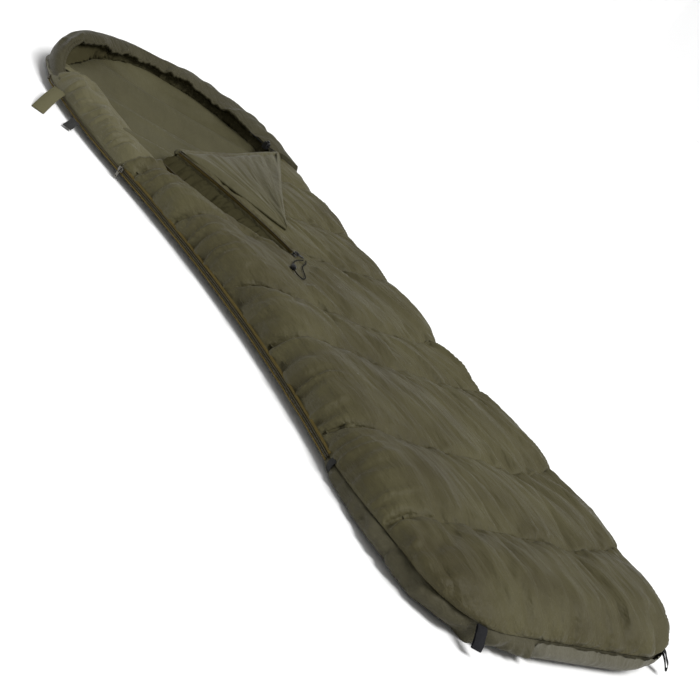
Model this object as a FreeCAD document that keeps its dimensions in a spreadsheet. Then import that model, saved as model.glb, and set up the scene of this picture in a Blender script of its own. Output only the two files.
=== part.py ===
import FreeCAD, Part
import math
import os
from FreeCAD import Placement, Rotation, Vector

# Quilted mummy sleeping bag lying zipped on its back half. Millimetres.
# +X is the sleeper's right hand side of the bag as it lies (the folded side), the side zip is at -X,
# +Y points to the hood, +Z is up, and the origin is on the resting face at mid length.

doc = FreeCAD.newDocument("sleeping_bag")

# ---------------------------------------------------------------- driving dimensions

SIZES = [
    ("bag_length", 2210), ("fold_side_x", 385), ("waist_x", 330),
    ("zip_chord", 1000), ("zip_bow", 45), ("zip_mid_y", -165), ("flare_radius", 1400),
    ("foot_corner_zip_side", 140), ("foot_corner_fold_side", 240),
    ("crown_corner_zip_side", 420), ("crown_corner_fold_side", 230),
    ("seam_level", 26), ("body_height", 100), ("hood_height", 125),
    ("cloth", 1.5), ("loft", 30), ("body_round", 40), ("hood_round", 50), ("base_round", 6),
    ("mouth_x", -15), ("mouth_y", 690), ("mouth_radius", 305),
    ("zip_top_y", 748), ("neck_y", 745),
    ("tape_stand_off", 5), ("tape_thickness", 1), ("tape_width", 14), ("coil_radius", 1.5),
    ("coil_gap", 1.4), ("chain_half", 2),
    ("slit_x", -65), ("slit_y", 40), ("slit_notch", 11), ("slit_corner_x", -230), ("slit_corner_y", 395),
    ("fold_end_x", 320), ("fold_end_y", 725), ("flap_reach", 308), ("flap_along", 66),
    ("flap_gap", 3), ("flap_cloth", 1), ("flap_loft", 7), ("flap_clear", 6), ("hem_width", 16),
    ("slider_length", 16), ("slider_height", 11), ("slider_plate", 1.4), ("slider_open", 4.2),
    ("pull_length", 22), ("pull_width", 8.4), ("pull_wire", 1.4),
    ("webbing", 1.2), ("loop_width", 20), ("loop_length", 40), ("loop_gap", 1.8),
    ("foot_panel_height", 48), ("hood_tab_width", 34), ("hood_tab_length", 152),
    ("small_tab_width", 24), ("small_tab_length", 40), ("tab_patch", 42),
    ("rim_width", 14), ("rim_height", 12), ("rim_bottom", 100), ("hood_cord_radius", 1.5),
    ("lock_width", 14), ("lock_length", 20), ("plunger_radius", 4), ("plunger_travel", 3),
    ("pull_cord_radius", 1.25), ("toggle_radius", 6.5), ("toggle_length", 17),
]
sheet = doc.addObject("Spreadsheet::Sheet", "Sizes")
for row, (alias, value) in enumerate(SIZES, 1):
    sheet.set(f"A{row}", alias)
    sheet.set(f"B{row}", str(value))
    sheet.setAlias(f"B{row}", alias)
doc.recompute()
parts = {}


def size(alias):
    """A driving dimension, read from the sheet."""
    return float(sheet.get(alias))


def keep(node, item, placement=None):
    """Name a finished sub-part; its label is the node's name."""
    item.Label = node
    if placement is not None:
        item.Placement = placement
    parts[node] = item
    return item


# ---------------------------------------------------------------- sketches and solids

def line(start, end):
    return Part.LineSegment(Vector(*start, 0), Vector(*end, 0))


def arc(centre, radius, start, end):
    """Anticlockwise arc from the angle start to the angle end, in radians."""
    circle = Part.Circle(Vector(*centre, 0), Vector(0, 0, 1), radius)
    return Part.ArcOfCircle(circle, start, end)


def polygon(points):
    return [line(a, b) for a, b in zip(points, points[1:] + points[:1])]


def box_edges(x0, x1, y0, y1):
    return polygon([(x0, y0), (x1, y0), (x1, y1), (x0, y1)])


def sketch(name, geometry):
    item = doc.addObject("Sketcher::SketchObject", name)
    item.addGeometry(geometry)
    return item


def prism(name, profile, bottom, top):
    """Extrude a sketch from one height to another; both are expressions in sheet aliases."""
    item = doc.addObject("Part::Extrusion", name)
    item.Base = profile
    item.DirMode = "Custom"
    item.Dir = Vector(0, 0, 1)
    item.Solid = True
    item.setExpression("LengthFwd", f"({top}) - ({bottom})")
    item.setExpression("Placement.Base.z", bottom)
    return item


def cut(name, base, tool):
    item = doc.addObject("Part::Cut", name)
    item.Base = base
    item.Tool = tool
    return item


def common(name, base, tool):
    item = doc.addObject("Part::Common", name)
    item.Base = base
    item.Tool = tool
    return item


def fuse(name, items):
    item = doc.addObject("Part::MultiFuse", name)
    item.Shapes = items
    item.Refine = True
    return item


def round_rim(name, base, radius, top=True):
    """Fillet the top or the bottom rim of a prism."""
    doc.recompute()
    box = base.Shape.BoundBox
    level = box.ZMax if top else box.ZMin
    rim = []
    for number, edge in enumerate(base.Shape.Edges, 1):
        if abs(edge.BoundBox.ZMax - level) < 1e-6 and abs(edge.BoundBox.ZMin - level) < 1e-6:
            rim.append((number, radius, radius))
    item = doc.addObject("Part::Fillet", name)
    item.Base = base
    item.Edges = rim
    return item


# ---------------------------------------------------------------- the outline seen from above

FOOT_Y = -size("bag_length") / 2
CROWN_Y = size("bag_length") / 2
FOLD_X = size("fold_side_x")
HALF_CHORD = size("zip_chord") / 2
ZIP_RADIUS = (HALF_CHORD ** 2 + size("zip_bow") ** 2) / (2 * size("zip_bow"))
ZIP_CENTRE = (-size("waist_x") - ZIP_RADIUS, size("zip_mid_y"))
ZIP_ANGLE = math.asin(HALF_CHORD / ZIP_RADIUS)
FLARE = size("flare_radius")
SIDE_X = ZIP_CENTRE[0] + (ZIP_RADIUS + FLARE) * math.cos(ZIP_ANGLE) - FLARE
FLARE_RISE = (ZIP_RADIUS + FLARE) * math.sin(ZIP_ANGLE)
HALF_TURN = math.pi
QUARTER = math.pi / 2


def outline(inset):
    """The bag's plan, as lines and tangent arcs, moved inwards by inset."""
    left, right = SIDE_X + inset, FOLD_X - inset
    foot, crown = FOOT_Y + inset, CROWN_Y - inset
    mid = ZIP_CENTRE[1]
    zip_foot, fold_foot = size("foot_corner_zip_side"), size("foot_corner_fold_side")
    zip_crown, fold_crown = size("crown_corner_zip_side"), size("crown_corner_fold_side")
    flare_x = SIDE_X + FLARE
    reach = HALF_TURN + ZIP_ANGLE
    return [
        arc(ZIP_CENTRE, ZIP_RADIUS + inset, -ZIP_ANGLE, ZIP_ANGLE),
        arc((flare_x, mid - FLARE_RISE), FLARE - inset, HALF_TURN - ZIP_ANGLE, HALF_TURN),
        line((left, mid - FLARE_RISE), (left, FOOT_Y + zip_foot)),
        arc((SIDE_X + zip_foot, FOOT_Y + zip_foot), zip_foot - inset, HALF_TURN, HALF_TURN + QUARTER),
        line((SIDE_X + zip_foot, foot), (FOLD_X - fold_foot, foot)),
        arc((FOLD_X - fold_foot, FOOT_Y + fold_foot), fold_foot - inset, -QUARTER, 0),
        line((right, FOOT_Y + fold_foot), (right, CROWN_Y - fold_crown)),
        arc((FOLD_X - fold_crown, CROWN_Y - fold_crown), fold_crown - inset, 0, QUARTER),
        line((FOLD_X - fold_crown, crown), (SIDE_X + zip_crown, crown)),
        arc((SIDE_X + zip_crown, CROWN_Y - zip_crown), zip_crown - inset, QUARTER, HALF_TURN),
        line((left, CROWN_Y - zip_crown), (left, mid + FLARE_RISE)),
        arc((flare_x, mid + FLARE_RISE), FLARE - inset, HALF_TURN, reach),
    ]


CLOTH, LOFT = size("cloth"), size("loft")
INSETS = {"skin": 0, "fill": CLOTH, "liner": CLOTH + LOFT, "space": 2 * CLOTH + LOFT}
plans = {layer: sketch(f"plan_{layer}", outline(inset)) for layer, inset in INSETS.items()}

# ---------------------------------------------------------------- lower half: cloth, fill, lining

base_block = prism("base_block", plans["skin"], "0", "Sizes.seam_level - 1")
base_outer = round_rim("base_outer", base_block, size("base_round"), top=False)
inner_round = size("base_round") - size("cloth")
hollow_block = prism("hollow_block", plans["fill"], "Sizes.cloth", "Sizes.seam_level")
base_hollow = round_rim("base_hollow", hollow_block, inner_round, top=False)
keep("bottom_shell", cut("bottom_shell_tray", base_outer, base_hollow))
skirt_block = prism("skirt_block", plans["fill"], "Sizes.cloth", "Sizes.seam_level - 1")
fill_skirt = round_rim("fill_skirt", skirt_block, inner_round, top=False)
fill_core = prism("fill_core", plans["space"], "Sizes.cloth", "Sizes.cloth + Sizes.loft")
keep("bottom_insulation", fuse("bottom_fill", [fill_skirt, fill_core]))
liner_level = "Sizes.cloth + Sizes.loft"
liner_sheet = prism("liner_sheet", plans["space"], liner_level, "2 * Sizes.cloth + Sizes.loft")
keep("bottom_lining", liner_sheet)

# ---------------------------------------------------------------- where the upper half is cut

SLIT = (size("slit_x"), size("slit_y"))
CORNER = (size("slit_corner_x"), size("slit_corner_y"))
FOLD_END = (size("fold_end_x"), size("fold_end_y"))
FAR = 700.0


def bow(start, end, rise):
    """Arc from start to end that bulges to the right of the way by rise, with its centre."""
    along = Vector(*end, 0) - Vector(*start, 0)
    half = along.Length / 2
    radius = (half ** 2 + rise ** 2) / (2 * rise)
    middle = (Vector(*start, 0) + Vector(*end, 0)) / 2
    right = Vector(along.y, -along.x, 0).normalize()
    centre = middle - right * (radius - rise)
    angles = [math.atan2(p[1] - centre.y, p[0] - centre.x) for p in (start, end)]
    if angles[1] < angles[0]:
        angles[1] += 2 * math.pi
    return (centre.x, centre.y), radius, angles[0], angles[1]


PANEL_TOP = (-300.0, 335.0)
NOTCH = size("slit_notch")
slit_right_start = (SLIT[0] + 9, SLIT[1] + 6)
slit_left_start = (SLIT[0] - 9, SLIT[1] - 4)
SLIT_BOW_RIGHT, SLIT_BOW_LEFT = 20.0, 22.0
right_edge = bow(slit_right_start, CORNER, SLIT_BOW_RIGHT)
left_edge = bow(PANEL_TOP, slit_left_start, SLIT_BOW_LEFT)
slit_left_edge = arc(*left_edge)
slit_right_edge = arc(*right_edge)
body_region = sketch("body_region", [
    line((-FAR, -2 * FAR), (-FAR, PANEL_TOP[1])),
    line((-FAR, PANEL_TOP[1]), PANEL_TOP),
    slit_left_edge,
    line(slit_left_start, slit_right_start),
    slit_right_edge,
    line(CORNER, FOLD_END),
    line(FOLD_END, (FAR, FOLD_END[1])),
    line((FAR, FOLD_END[1]), (FAR, -2 * FAR)),
    line((FAR, -2 * FAR), (-FAR, -2 * FAR)),
])
hood_region = sketch("hood_region", box_edges(-FAR, FAR, size("neck_y"), 2 * FAR))
mouth = sketch("mouth", [Part.Circle(Vector(size("mouth_x"), size("mouth_y"), 0), Vector(0, 0, 1),
                                     size("mouth_radius"))])
notch = sketch("notch", [Part.Circle(Vector(*SLIT, 0), Vector(0, 0, 1), NOTCH)])
body_block = prism("body_block", body_region, "-10", "300")
notch_block = prism("notch_block", notch, "-10", "300")
body_zone = cut("body_zone", body_block, notch_block)
hood_block = prism("hood_block", hood_region, "-10", "300")
mouth_block = prism("mouth_block", mouth, "-10", "300")
hood_zone = cut("hood_zone", hood_block, mouth_block)

# ---------------------------------------------------------------- upper half and hood: nested domes

FLOORS = {"skin": "0", "fill": "Sizes.cloth", "liner": "Sizes.cloth + Sizes.loft",
          "space": "2 * Sizes.cloth + Sizes.loft"}


def dome(name, layer, height):
    """The bag's plan as a block with a rounded upper rim, lowered by the layer's inset."""
    block = prism(f"{name}_block", plans[layer], "Sizes.seam_level + 1",
                  f"Sizes.{height}_height - ({FLOORS[layer]})")
    radius = max(size(f"{height}_round") - INSETS[layer], 4.0)
    return round_rim(name, block, radius)


def dome_layers(height, zone, names):
    """Cut the nested domes from each other and keep what lies in the zone."""
    domes = [dome(f"{height}_{layer}", layer, height) for layer in INSETS]
    for outer, inner, node in zip(domes, domes[1:], names):
        skin = cut(f"{node}_skin", outer, inner)
        keep(node, common(f"{node}_cut", skin, zone))


dome_layers("body", body_zone, ["top_shell", "top_insulation", "top_lining"])
dome_layers("hood", hood_zone, ["hood_shell", "hood_insulation", "hood_lining"])


# ---------------------------------------------------------------- side zip

def band(name, inner, outer, bottom, top, y0, y1, x0=-FAR, x1=-200.0):
    """A strip that follows the outline between two insets, within a range of Y."""
    inside = prism(f"{name}_in", sketch(f"{name}_in_plan", outline(inner)), bottom, top)
    outside = prism(f"{name}_out", sketch(f"{name}_out_plan", outline(outer)), bottom, top)
    ring = cut(f"{name}_ring", outside, inside)
    window = prism(f"{name}_window", sketch(f"{name}_window_plan", box_edges(x0, x1, y0, y1)), "-10", "300")
    return common(f"{name}_strip", ring, window)


STAND_OFF, TAPE = size("tape_stand_off"), size("tape_thickness")
ZIP_LOW_Y = size("zip_mid_y") - HALF_CHORD
ZIP_HIGH_Y = size("zip_mid_y") + HALF_CHORD
CHAIN = size("chain_half") + size("coil_gap") / 2
lower_tape = [
    band("lower_leaf", -STAND_OFF, -STAND_OFF - TAPE, "Sizes.seam_level - 4 - Sizes.tape_width",
         "Sizes.seam_level - 4", ZIP_LOW_Y, size("zip_top_y")),
    band("lower_foot", 0, -STAND_OFF - TAPE, "Sizes.seam_level - 4 - Sizes.tape_width",
         "Sizes.seam_level - 1 - Sizes.tape_width", ZIP_LOW_Y, size("zip_top_y")),
]
keep("side_zip_tape_lower", fuse("lower_tape", lower_tape))
upper_tape = [
    band("upper_leaf", -STAND_OFF, -STAND_OFF - TAPE, "Sizes.seam_level + 4",
         "Sizes.seam_level + 4 + Sizes.tape_width", ZIP_LOW_Y, ZIP_HIGH_Y - 12),
    band("upper_foot", 0, -STAND_OFF - TAPE, "Sizes.seam_level + 1 + Sizes.tape_width",
         "Sizes.seam_level + 4 + Sizes.tape_width", ZIP_LOW_Y, ZIP_HIGH_Y - 12),
]
keep("side_zip_tape_upper", fuse("upper_tape", upper_tape))


def coil(node, level, edges, start, tangent):
    """A coil strand, as a round rod along arcs of the zip line."""
    path = Part.Wire([edge.toShape() for edge in edges])
    ring = Part.Circle(Vector(start[0], start[1], 0), Vector(tangent[0], tangent[1], 0), size("coil_radius"))
    item = doc.addObject("Part::Feature", f"{node}_rod")
    item.Shape = path.makePipeShell([Part.Wire([ring.toShape()])], True, True)
    return keep(node, item, Placement(Vector(0, 0, level), Rotation()))


COIL_LINE = STAND_OFF + TAPE / 2
coil_radius_path = ZIP_RADIUS - COIL_LINE
zip_foot_angle = -ZIP_ANGLE
low_point = (ZIP_CENTRE[0] + coil_radius_path * math.cos(zip_foot_angle),
             ZIP_CENTRE[1] + coil_radius_path * math.sin(zip_foot_angle))
low_tangent = (-math.sin(zip_foot_angle), math.cos(zip_foot_angle))
closed_arc = arc(ZIP_CENTRE, coil_radius_path, -ZIP_ANGLE, ZIP_ANGLE - 14 / ZIP_RADIUS)
whole_arc = arc(ZIP_CENTRE, coil_radius_path, -ZIP_ANGLE, ZIP_ANGLE)
flare_centre = (SIDE_X + FLARE, ZIP_CENTRE[1] + FLARE_RISE)
flare_arc = arc(flare_centre, FLARE + COIL_LINE, HALF_TURN, HALF_TURN + ZIP_ANGLE)
crown_radius = size("crown_corner_zip_side")
crown_centre = (SIDE_X + crown_radius, CROWN_Y - crown_radius)
open_line = line((SIDE_X - COIL_LINE, ZIP_CENTRE[1] + FLARE_RISE), (SIDE_X - COIL_LINE, crown_centre[1]))
crown_turn = math.asin((size("zip_top_y") - crown_centre[1]) / (crown_radius + COIL_LINE))
crown_arc = arc(crown_centre, crown_radius + COIL_LINE, HALF_TURN - crown_turn, HALF_TURN)
half_gap = size("coil_gap") / 2 + size("coil_radius")
coil("side_zip_coil_upper", size("seam_level") + half_gap, [closed_arc], low_point, low_tangent)
coil("side_zip_coil_lower", size("seam_level") - half_gap, [whole_arc, flare_arc, open_line, crown_arc],
     low_point, low_tangent)

TUBE_IN, TUBE_OUT = 72.0, 42.5
draft_tube = [
    band("draft_closed", TUBE_IN, TUBE_OUT, "2 * Sizes.cloth + Sizes.loft + 0.5", "61", ZIP_LOW_Y, 350.0),
    band("draft_open", TUBE_IN, TUBE_OUT, "2 * Sizes.cloth + Sizes.loft + 0.5", "66", 350.0, 740.0),
]
keep("side_draft_tube", fuse("side_tube", draft_tube))
top_stop = band("top_stop", -0.6, -STAND_OFF - TAPE - 1.2, "Sizes.seam_level - 8", "Sizes.seam_level + 2",
                size("zip_top_y") + 1, size("zip_top_y") + 10)
keep("side_zip_top_stop", top_stop)
end_tab = band("side_zip_end", -0.3, -STAND_OFF - TAPE - 1, "4", "Sizes.seam_level + 18",
               ZIP_LOW_Y - 32, ZIP_LOW_Y - 8)
keep("side_zip_end_tab", end_tab)


def turned(angle, z=0.0):
    """Placement that carries a piece made at the waist along the zip's arc."""
    return Placement(Vector(0, 0, z), Rotation(Vector(0, 0, 1), math.degrees(angle)),
                     Vector(ZIP_CENTRE[0], ZIP_CENTRE[1], 0))


# ---------------------------------------------------------------- PartDesign helpers

PLANES = {"xy": "XY_Plane", "xz": "XZ_Plane", "yz": "YZ_Plane"}


def body_sketch(body, name, plane, offset, geometry):
    """A sketch on one of the body's origin planes, moved along that plane's normal."""
    item = body.newObject("Sketcher::SketchObject", name)
    support = [f for f in body.Origin.OriginFeatures if f.Role == PLANES[plane]][0]
    item.AttachmentSupport = (support, [""])
    item.MapMode = "FlatFace"
    item.AttachmentOffset = Placement(Vector(0, 0, offset), Rotation())
    item.addGeometry(geometry)
    return item


def pad(body, name, profile, length):
    item = body.newObject("PartDesign::Pad", name)
    item.Profile = profile
    item.setExpression("Length", str(length))
    return item


def pocket(body, name, profile, length):
    """Cut along the sketch plane's normal, and stop the build if nothing was removed."""
    doc.recompute()
    before = body.Shape.Volume
    item = body.newObject("PartDesign::Pocket", name)
    item.Profile = profile
    item.Reversed = True
    item.setExpression("Length", str(length))
    doc.recompute()
    if body.Shape.Volume > before - 0.1:
        raise SystemExit(f"{name} cut nothing")
    return item


def rounded(x0, x1, y0, y1, radius):
    """A rectangle with round corners, for a sketch."""
    return [
        line((x0 + radius, y0), (x1 - radius, y0)), arc((x1 - radius, y0 + radius), radius, -QUARTER, 0),
        line((x1, y0 + radius), (x1, y1 - radius)), arc((x1 - radius, y1 - radius), radius, 0, QUARTER),
        line((x1 - radius, y1), (x0 + radius, y1)),
        arc((x0 + radius, y1 - radius), radius, QUARTER, HALF_TURN),
        line((x0, y1 - radius), (x0, y0 + radius)),
        arc((x0 + radius, y0 + radius), radius, HALF_TURN, HALF_TURN + QUARTER),
    ]


def slider_body(node, arch_plane):
    """Zip slider: two plates and a post, with an arch for the pull. Along +Y, its face towards +Z.

    The arch lies along the slider when its eye is cut through the YZ plane, across it for the XZ plane.
    """
    body = doc.addObject("PartDesign::Body", f"{node}_body")
    half_length, half_height = size("slider_length") / 2, size("slider_height") / 2
    plate, gap = size("slider_plate"), size("slider_open")
    outline_plate = rounded(-half_height, half_height, -half_length, half_length, 3)
    back = body_sketch(body, f"{node}_back", "xy", -gap / 2 - plate, outline_plate)
    pad(body, f"{node}_back_pad", back, "Sizes.slider_plate")
    post = body_sketch(body, f"{node}_post", "xy", -gap / 2 - 0.1, box_edges(-0.35, 0.35, 3.5, 7.0))
    pad(body, f"{node}_post_pad", post, "Sizes.slider_open + 0.2")
    front = body_sketch(body, f"{node}_front", "xy", gap / 2, outline_plate)
    pad(body, f"{node}_front_pad", front, "Sizes.slider_plate")
    reach_x, reach_y = (1.6, 4.2) if arch_plane == "yz" else (4.2, 1.6)
    arch_foot = box_edges(-reach_x, reach_x, -reach_y, reach_y)
    arch = body_sketch(body, f"{node}_arch", "xy", gap / 2 + plate - 0.1, arch_foot)
    pad(body, f"{node}_arch_pad", arch, "4.1")
    eye = body_sketch(body, f"{node}_eye", arch_plane, -3.0,
                      box_edges(-2.8, 2.8, gap / 2 + plate + 0.1, gap / 2 + plate + 2.7))
    pocket(body, f"{node}_eye_cut", eye, "6")
    return body


def pull_body(node, length):
    """Zip pull: a wire frame whose top bar is the hinge line (local Y), its tab towards -X."""
    body = doc.addObject("PartDesign::Body", f"{node}_body")
    half_wire = size("pull_wire") / 2
    half_width = size("pull_width") / 2
    plate = body_sketch(body, f"{node}_plate", "xy", -half_wire,
                        rounded(-length, half_wire, -half_width, half_width, half_wire))
    pad(body, f"{node}_plate_pad", plate, "Sizes.pull_wire")
    window = body_sketch(body, f"{node}_window", "xy", -half_wire - 0.5,
                         box_edges(-7.5, -half_wire, -half_width + 1.1, half_width - 1.1))
    pocket(body, f"{node}_window_cut", window, "Sizes.pull_wire + 1")
    hole = body_sketch(body, f"{node}_hole", "xy", -half_wire - 0.5,
                       [Part.Circle(Vector(-length + 4.2, 0, 0), Vector(0, 0, 1), 2.2)])
    pocket(body, f"{node}_hole_cut", hole, "Sizes.pull_wire + 1")
    return body


ARCH_BAR = size("slider_open") / 2 + size("slider_plate") + 1.4
slider_angle = ZIP_ANGLE - size("slider_length") / 2 / ZIP_RADIUS
slider_x = ZIP_CENTRE[0] + ZIP_RADIUS - COIL_LINE
# the slider's face is turned from +Z to -X, its length stays along +Y
face_out = Rotation(Vector(0, 1, 0), -90)
at_waist = Placement(Vector(slider_x, ZIP_CENTRE[1], size("seam_level")), face_out)
keep("side_slider", slider_body("side_slider", "xz"), turned(slider_angle) * at_waist)
hanging = Placement(Vector(slider_x - ARCH_BAR, ZIP_CENTRE[1], size("seam_level")), Rotation(Vector(0, 1, 0), -90))
keep("side_pull", pull_body("side_pull", size("pull_length")), turned(slider_angle) * hanging)

# ---------------------------------------------------------------- chest zip, along the slit's two edges


def ring_strip(node, edge, grow, bottom, top, trim_start, trim_end):
    """A thin strip along one edge of the slit; grow is the way from the edge into the slit."""
    centre, radius, start, end = edge
    start, end = start + trim_start / radius, end - trim_end / radius
    near, far = radius + min(grow, 0.0), radius + max(grow, 0.0)
    corners = [(centre[0] + r * math.cos(a), centre[1] + r * math.sin(a)) for r, a in
               ((near, start), (far, start), (far, end), (near, end))]
    plan = sketch(f"{node}_plan", [arc(centre, near, start, end), arc(centre, far, start, end),
                                   line(corners[0], corners[1]), line(corners[2], corners[3])])
    return keep(node, prism(f"{node}_leaf", plan, bottom, top))


# the slit lies on the outer side of both arcs' bulge, so the strips are inside each arc's circle
TAPE_IN = -size("tape_thickness")
ring_strip("chest_zip_tape_right", right_edge, TAPE_IN, "Sizes.body_height - 15", "Sizes.body_height - 1", 14, 6)
ring_strip("chest_zip_tape_left", left_edge, TAPE_IN, "Sizes.body_height - 15", "Sizes.body_height - 1", 6, 14)


def chest_coil(node, edge, trim_start, trim_end):
    """Coil strand on the top edge of a chest zip tape."""
    centre, radius, start, end = edge
    start, end = start + trim_start / radius, end - trim_end / radius
    line_radius = radius + TAPE_IN / 2
    point = (centre[0] + line_radius * math.cos(start), centre[1] + line_radius * math.sin(start))
    coil(node, size("body_height") + size("coil_radius"), [arc(centre, line_radius, start, end)],
         point, (-math.sin(start), math.cos(start)))


chest_coil("chest_zip_coil_right", right_edge, 16, 8)
chest_coil("chest_zip_coil_left", left_edge, 8, 16)

along_slit = Vector(-0.528, 0.849, 0).normalize()
across_slit = Vector(along_slit.y, -along_slit.x, 0)
slit_turn = math.degrees(math.atan2(along_slit.y, along_slit.x)) - 90
chest_face = Rotation(Vector(0, 0, 1), slit_turn)
CHEST_CHAIN_Z = size("body_height") + size("coil_radius")
keep("chest_slider", slider_body("chest_slider", "yz"), Placement(Vector(*SLIT, CHEST_CHAIN_Z), chest_face))
PULL_Z = CHEST_CHAIN_Z + ARCH_BAR
# the pull's hinge bar lies across the slit and its tab points to the foot
lying = Rotation(Vector(0, 0, 1), slit_turn + 90)
keep("chest_pull", pull_body("chest_pull", 20.0), Placement(Vector(*SLIT, PULL_Z), lying))

tube_edges = [
    bow((slit_right_start[0] - 22, slit_right_start[1] + 26), (CORNER[0] - 6, CORNER[1] - 14), SLIT_BOW_RIGHT),
    bow((PANEL_TOP[0] + 14, PANEL_TOP[1] + 4), (slit_left_start[0] - 14, slit_left_start[1] + 24), 10.0),
]
tube_corners = [(c[0] + r * math.cos(a), c[1] + r * math.sin(a)) for c, r, s, e in tube_edges for a in (s, e)]
tube_plan = sketch("chest_tube_plan", [
    arc(*tube_edges[0]), arc(*tube_edges[1]),
    line(tube_corners[1], tube_corners[2]), line(tube_corners[3], tube_corners[0]),
])
tube_block = prism("chest_tube_block", tube_plan, "Sizes.body_height - 34", "Sizes.body_height - 16")
keep("chest_draft_tube", tube_block)

# ---------------------------------------------------------------- folded chest flap

fold_way = (Vector(*FOLD_END, 0) - Vector(*CORNER, 0)).normalize()
fold_side = Vector(fold_way.y, -fold_way.x, 0)
FOLD_Z = size("body_height") + size("flap_gap") / 2
fold_length = (Vector(*FOLD_END, 0) - Vector(*CORNER, 0)).Length
fold_turn = math.degrees(math.atan2(fold_way.y, fold_way.x))
# in the flap's own axes the fold line is +X, and the flap lies on the -Y side of it
flap_frame = Placement(Vector(*CORNER, 0), Rotation(Vector(0, 0, 1), fold_turn))
clear = size("flap_clear")
tip = (size("flap_along"), -size("flap_reach"))


def flap_outline(edge_inset):
    """Triangle from the fold line to the tip, moved in from its free edges."""
    left_slope = Vector(tip[0], tip[1], 0).normalize()
    right_slope = Vector(fold_length - tip[0], -tip[1], 0).normalize()
    left_root = (-left_slope.x / left_slope.y * clear + edge_inset / abs(left_slope.y) + 4, -clear)
    right_root = (fold_length - right_slope.x / right_slope.y * clear
                  - edge_inset / abs(right_slope.y) - 10, -clear)
    blunt = 10.0
    low_left = (tip[0] + edge_inset, tip[1] + blunt + 1.5 * edge_inset)
    low_right = (tip[0] + edge_inset + blunt, tip[1] + blunt + 1.5 * edge_inset)
    return polygon([left_root, low_left, low_right, right_root])


flap_bottom = "Sizes.body_height + Sizes.flap_gap"
flap_layers = [
    ("flap_shell", 0.0, flap_bottom, f"{flap_bottom} + Sizes.flap_cloth"),
    ("flap_insulation", 3.0, f"{flap_bottom} + Sizes.flap_cloth",
     f"{flap_bottom} + Sizes.flap_cloth + Sizes.flap_loft"),
    ("flap_lining", 0.0, f"{flap_bottom} + Sizes.flap_cloth + Sizes.flap_loft",
     f"{flap_bottom} + 2 * Sizes.flap_cloth + Sizes.flap_loft"),
]
for node, edge_inset, bottom, top in flap_layers:
    leaf = prism(f"{node}_leaf", sketch(f"{node}_plan", flap_outline(edge_inset)), bottom, top)
    doc.recompute()
    keep(node, leaf, flap_frame * Placement(Vector(0, 0, leaf.Placement.Base.z), Rotation()))
    leaf.setExpression("Placement.Base.z", bottom)


def edge_strip(node, start, end, width, bottom, top):
    """A strip sewn on the flap, from start to end, on the right of that way."""
    way = (Vector(*end, 0) - Vector(*start, 0)).normalize()
    right = Vector(way.y, -way.x, 0) * width
    corners = [start, end, (end[0] + right.x, end[1] + right.y), (start[0] + right.x, start[1] + right.y)]
    strip = prism(f"{node}_strip", sketch(f"{node}_plan", polygon(corners)), bottom, top)
    doc.recompute()
    keep(node, strip, flap_frame * Placement(Vector(0, 0, strip.Placement.Base.z), Rotation()))
    strip.setExpression("Placement.Base.z", bottom)


flap_top = f"{flap_bottom} + 2 * Sizes.flap_cloth + Sizes.flap_loft"
hem_way = (Vector(tip[0], tip[1], 0) - Vector(fold_length, 0, 0)).normalize()
hem_start = (fold_length + hem_way.x * 40 - 14, hem_way.y * 40)
hem_end = (tip[0] - hem_way.x * 30 - 2, tip[1] - hem_way.y * 30 + 10)
edge_strip("flap_hem", hem_start, hem_end, size("hem_width"), flap_top, f"{flap_top} + 1")
tape_way = Vector(tip[0], tip[1], 0).normalize()
tape_start = (tape_way.x * 30 + 18, tape_way.y * 30)
tape_end = (tip[0] - tape_way.x * 40 + 14, tip[1] - tape_way.y * 40)
edge_strip("flap_zip_tape", tape_end, tape_start, size("tape_width"), f"{flap_bottom} - 1", flap_bottom)

# ---------------------------------------------------------------- foot panel and hanging loops

foot_panel = band("foot_panel", 0, -1.5, "3", "Sizes.foot_panel_height", FOOT_Y - 50, FOOT_Y + 150, -FAR, FAR)
keep("foot_panel", foot_panel)


def webbing_loop(node, place):
    """A strip of webbing folded in two, hanging along -Z from its hinge line on local X."""
    body = doc.addObject("PartDesign::Body", f"{node}_body")
    half, gap, thick = size("loop_width") / 2, size("loop_gap") / 2, size("webbing")
    depth = size("loop_length")
    outer, inner = gap + thick, gap
    profile = [
        line((-outer, 0), (-inner, 0)), line((-inner, 0), (-inner, -depth)),
        arc((0, -depth), inner, HALF_TURN, 2 * HALF_TURN), line((inner, -depth), (inner, 0)),
        line((inner, 0), (outer, 0)), line((outer, 0), (outer, -depth)),
        arc((0, -depth), outer, HALF_TURN, 2 * HALF_TURN), line((-outer, -depth), (-outer, 0)),
    ]
    strip = body_sketch(body, f"{node}_profile", "yz", -half, profile)
    pad(body, f"{node}_pad", strip, "Sizes.loop_width")
    return keep(node, body, place)


LOOP_TOP = size("foot_panel_height") - 2
loop_out = size("loop_gap") / 2 + size("webbing") + 2.1
# the stiff webbing stands out from the seam, this far from straight down
LOOP_LIFT = 50.0
# each loop is at a foot corner: the corner's radius, its centre's X and the turn from -Y
loops = [
    ("foot_loop_left", size("foot_corner_zip_side"), SIDE_X + size("foot_corner_zip_side"), -27.3),
    ("foot_loop_right", size("foot_corner_fold_side"), FOLD_X - size("foot_corner_fold_side"), 33.8),
]
for node, corner, centre_x, turn in loops:
    out = Vector(math.sin(math.radians(turn)), -math.cos(math.radians(turn)), 0) * (corner + loop_out)
    top = Vector(centre_x, FOOT_Y + corner, LOOP_TOP) + out
    webbing_loop(node, Placement(top, Rotation(Vector(0, 0, 1), turn) * Rotation(Vector(1, 0, 0), -LOOP_LIFT)))
    print(node, "hinge", [round(c, 2) for c in top])


# ---------------------------------------------------------------- hood tabs

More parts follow.
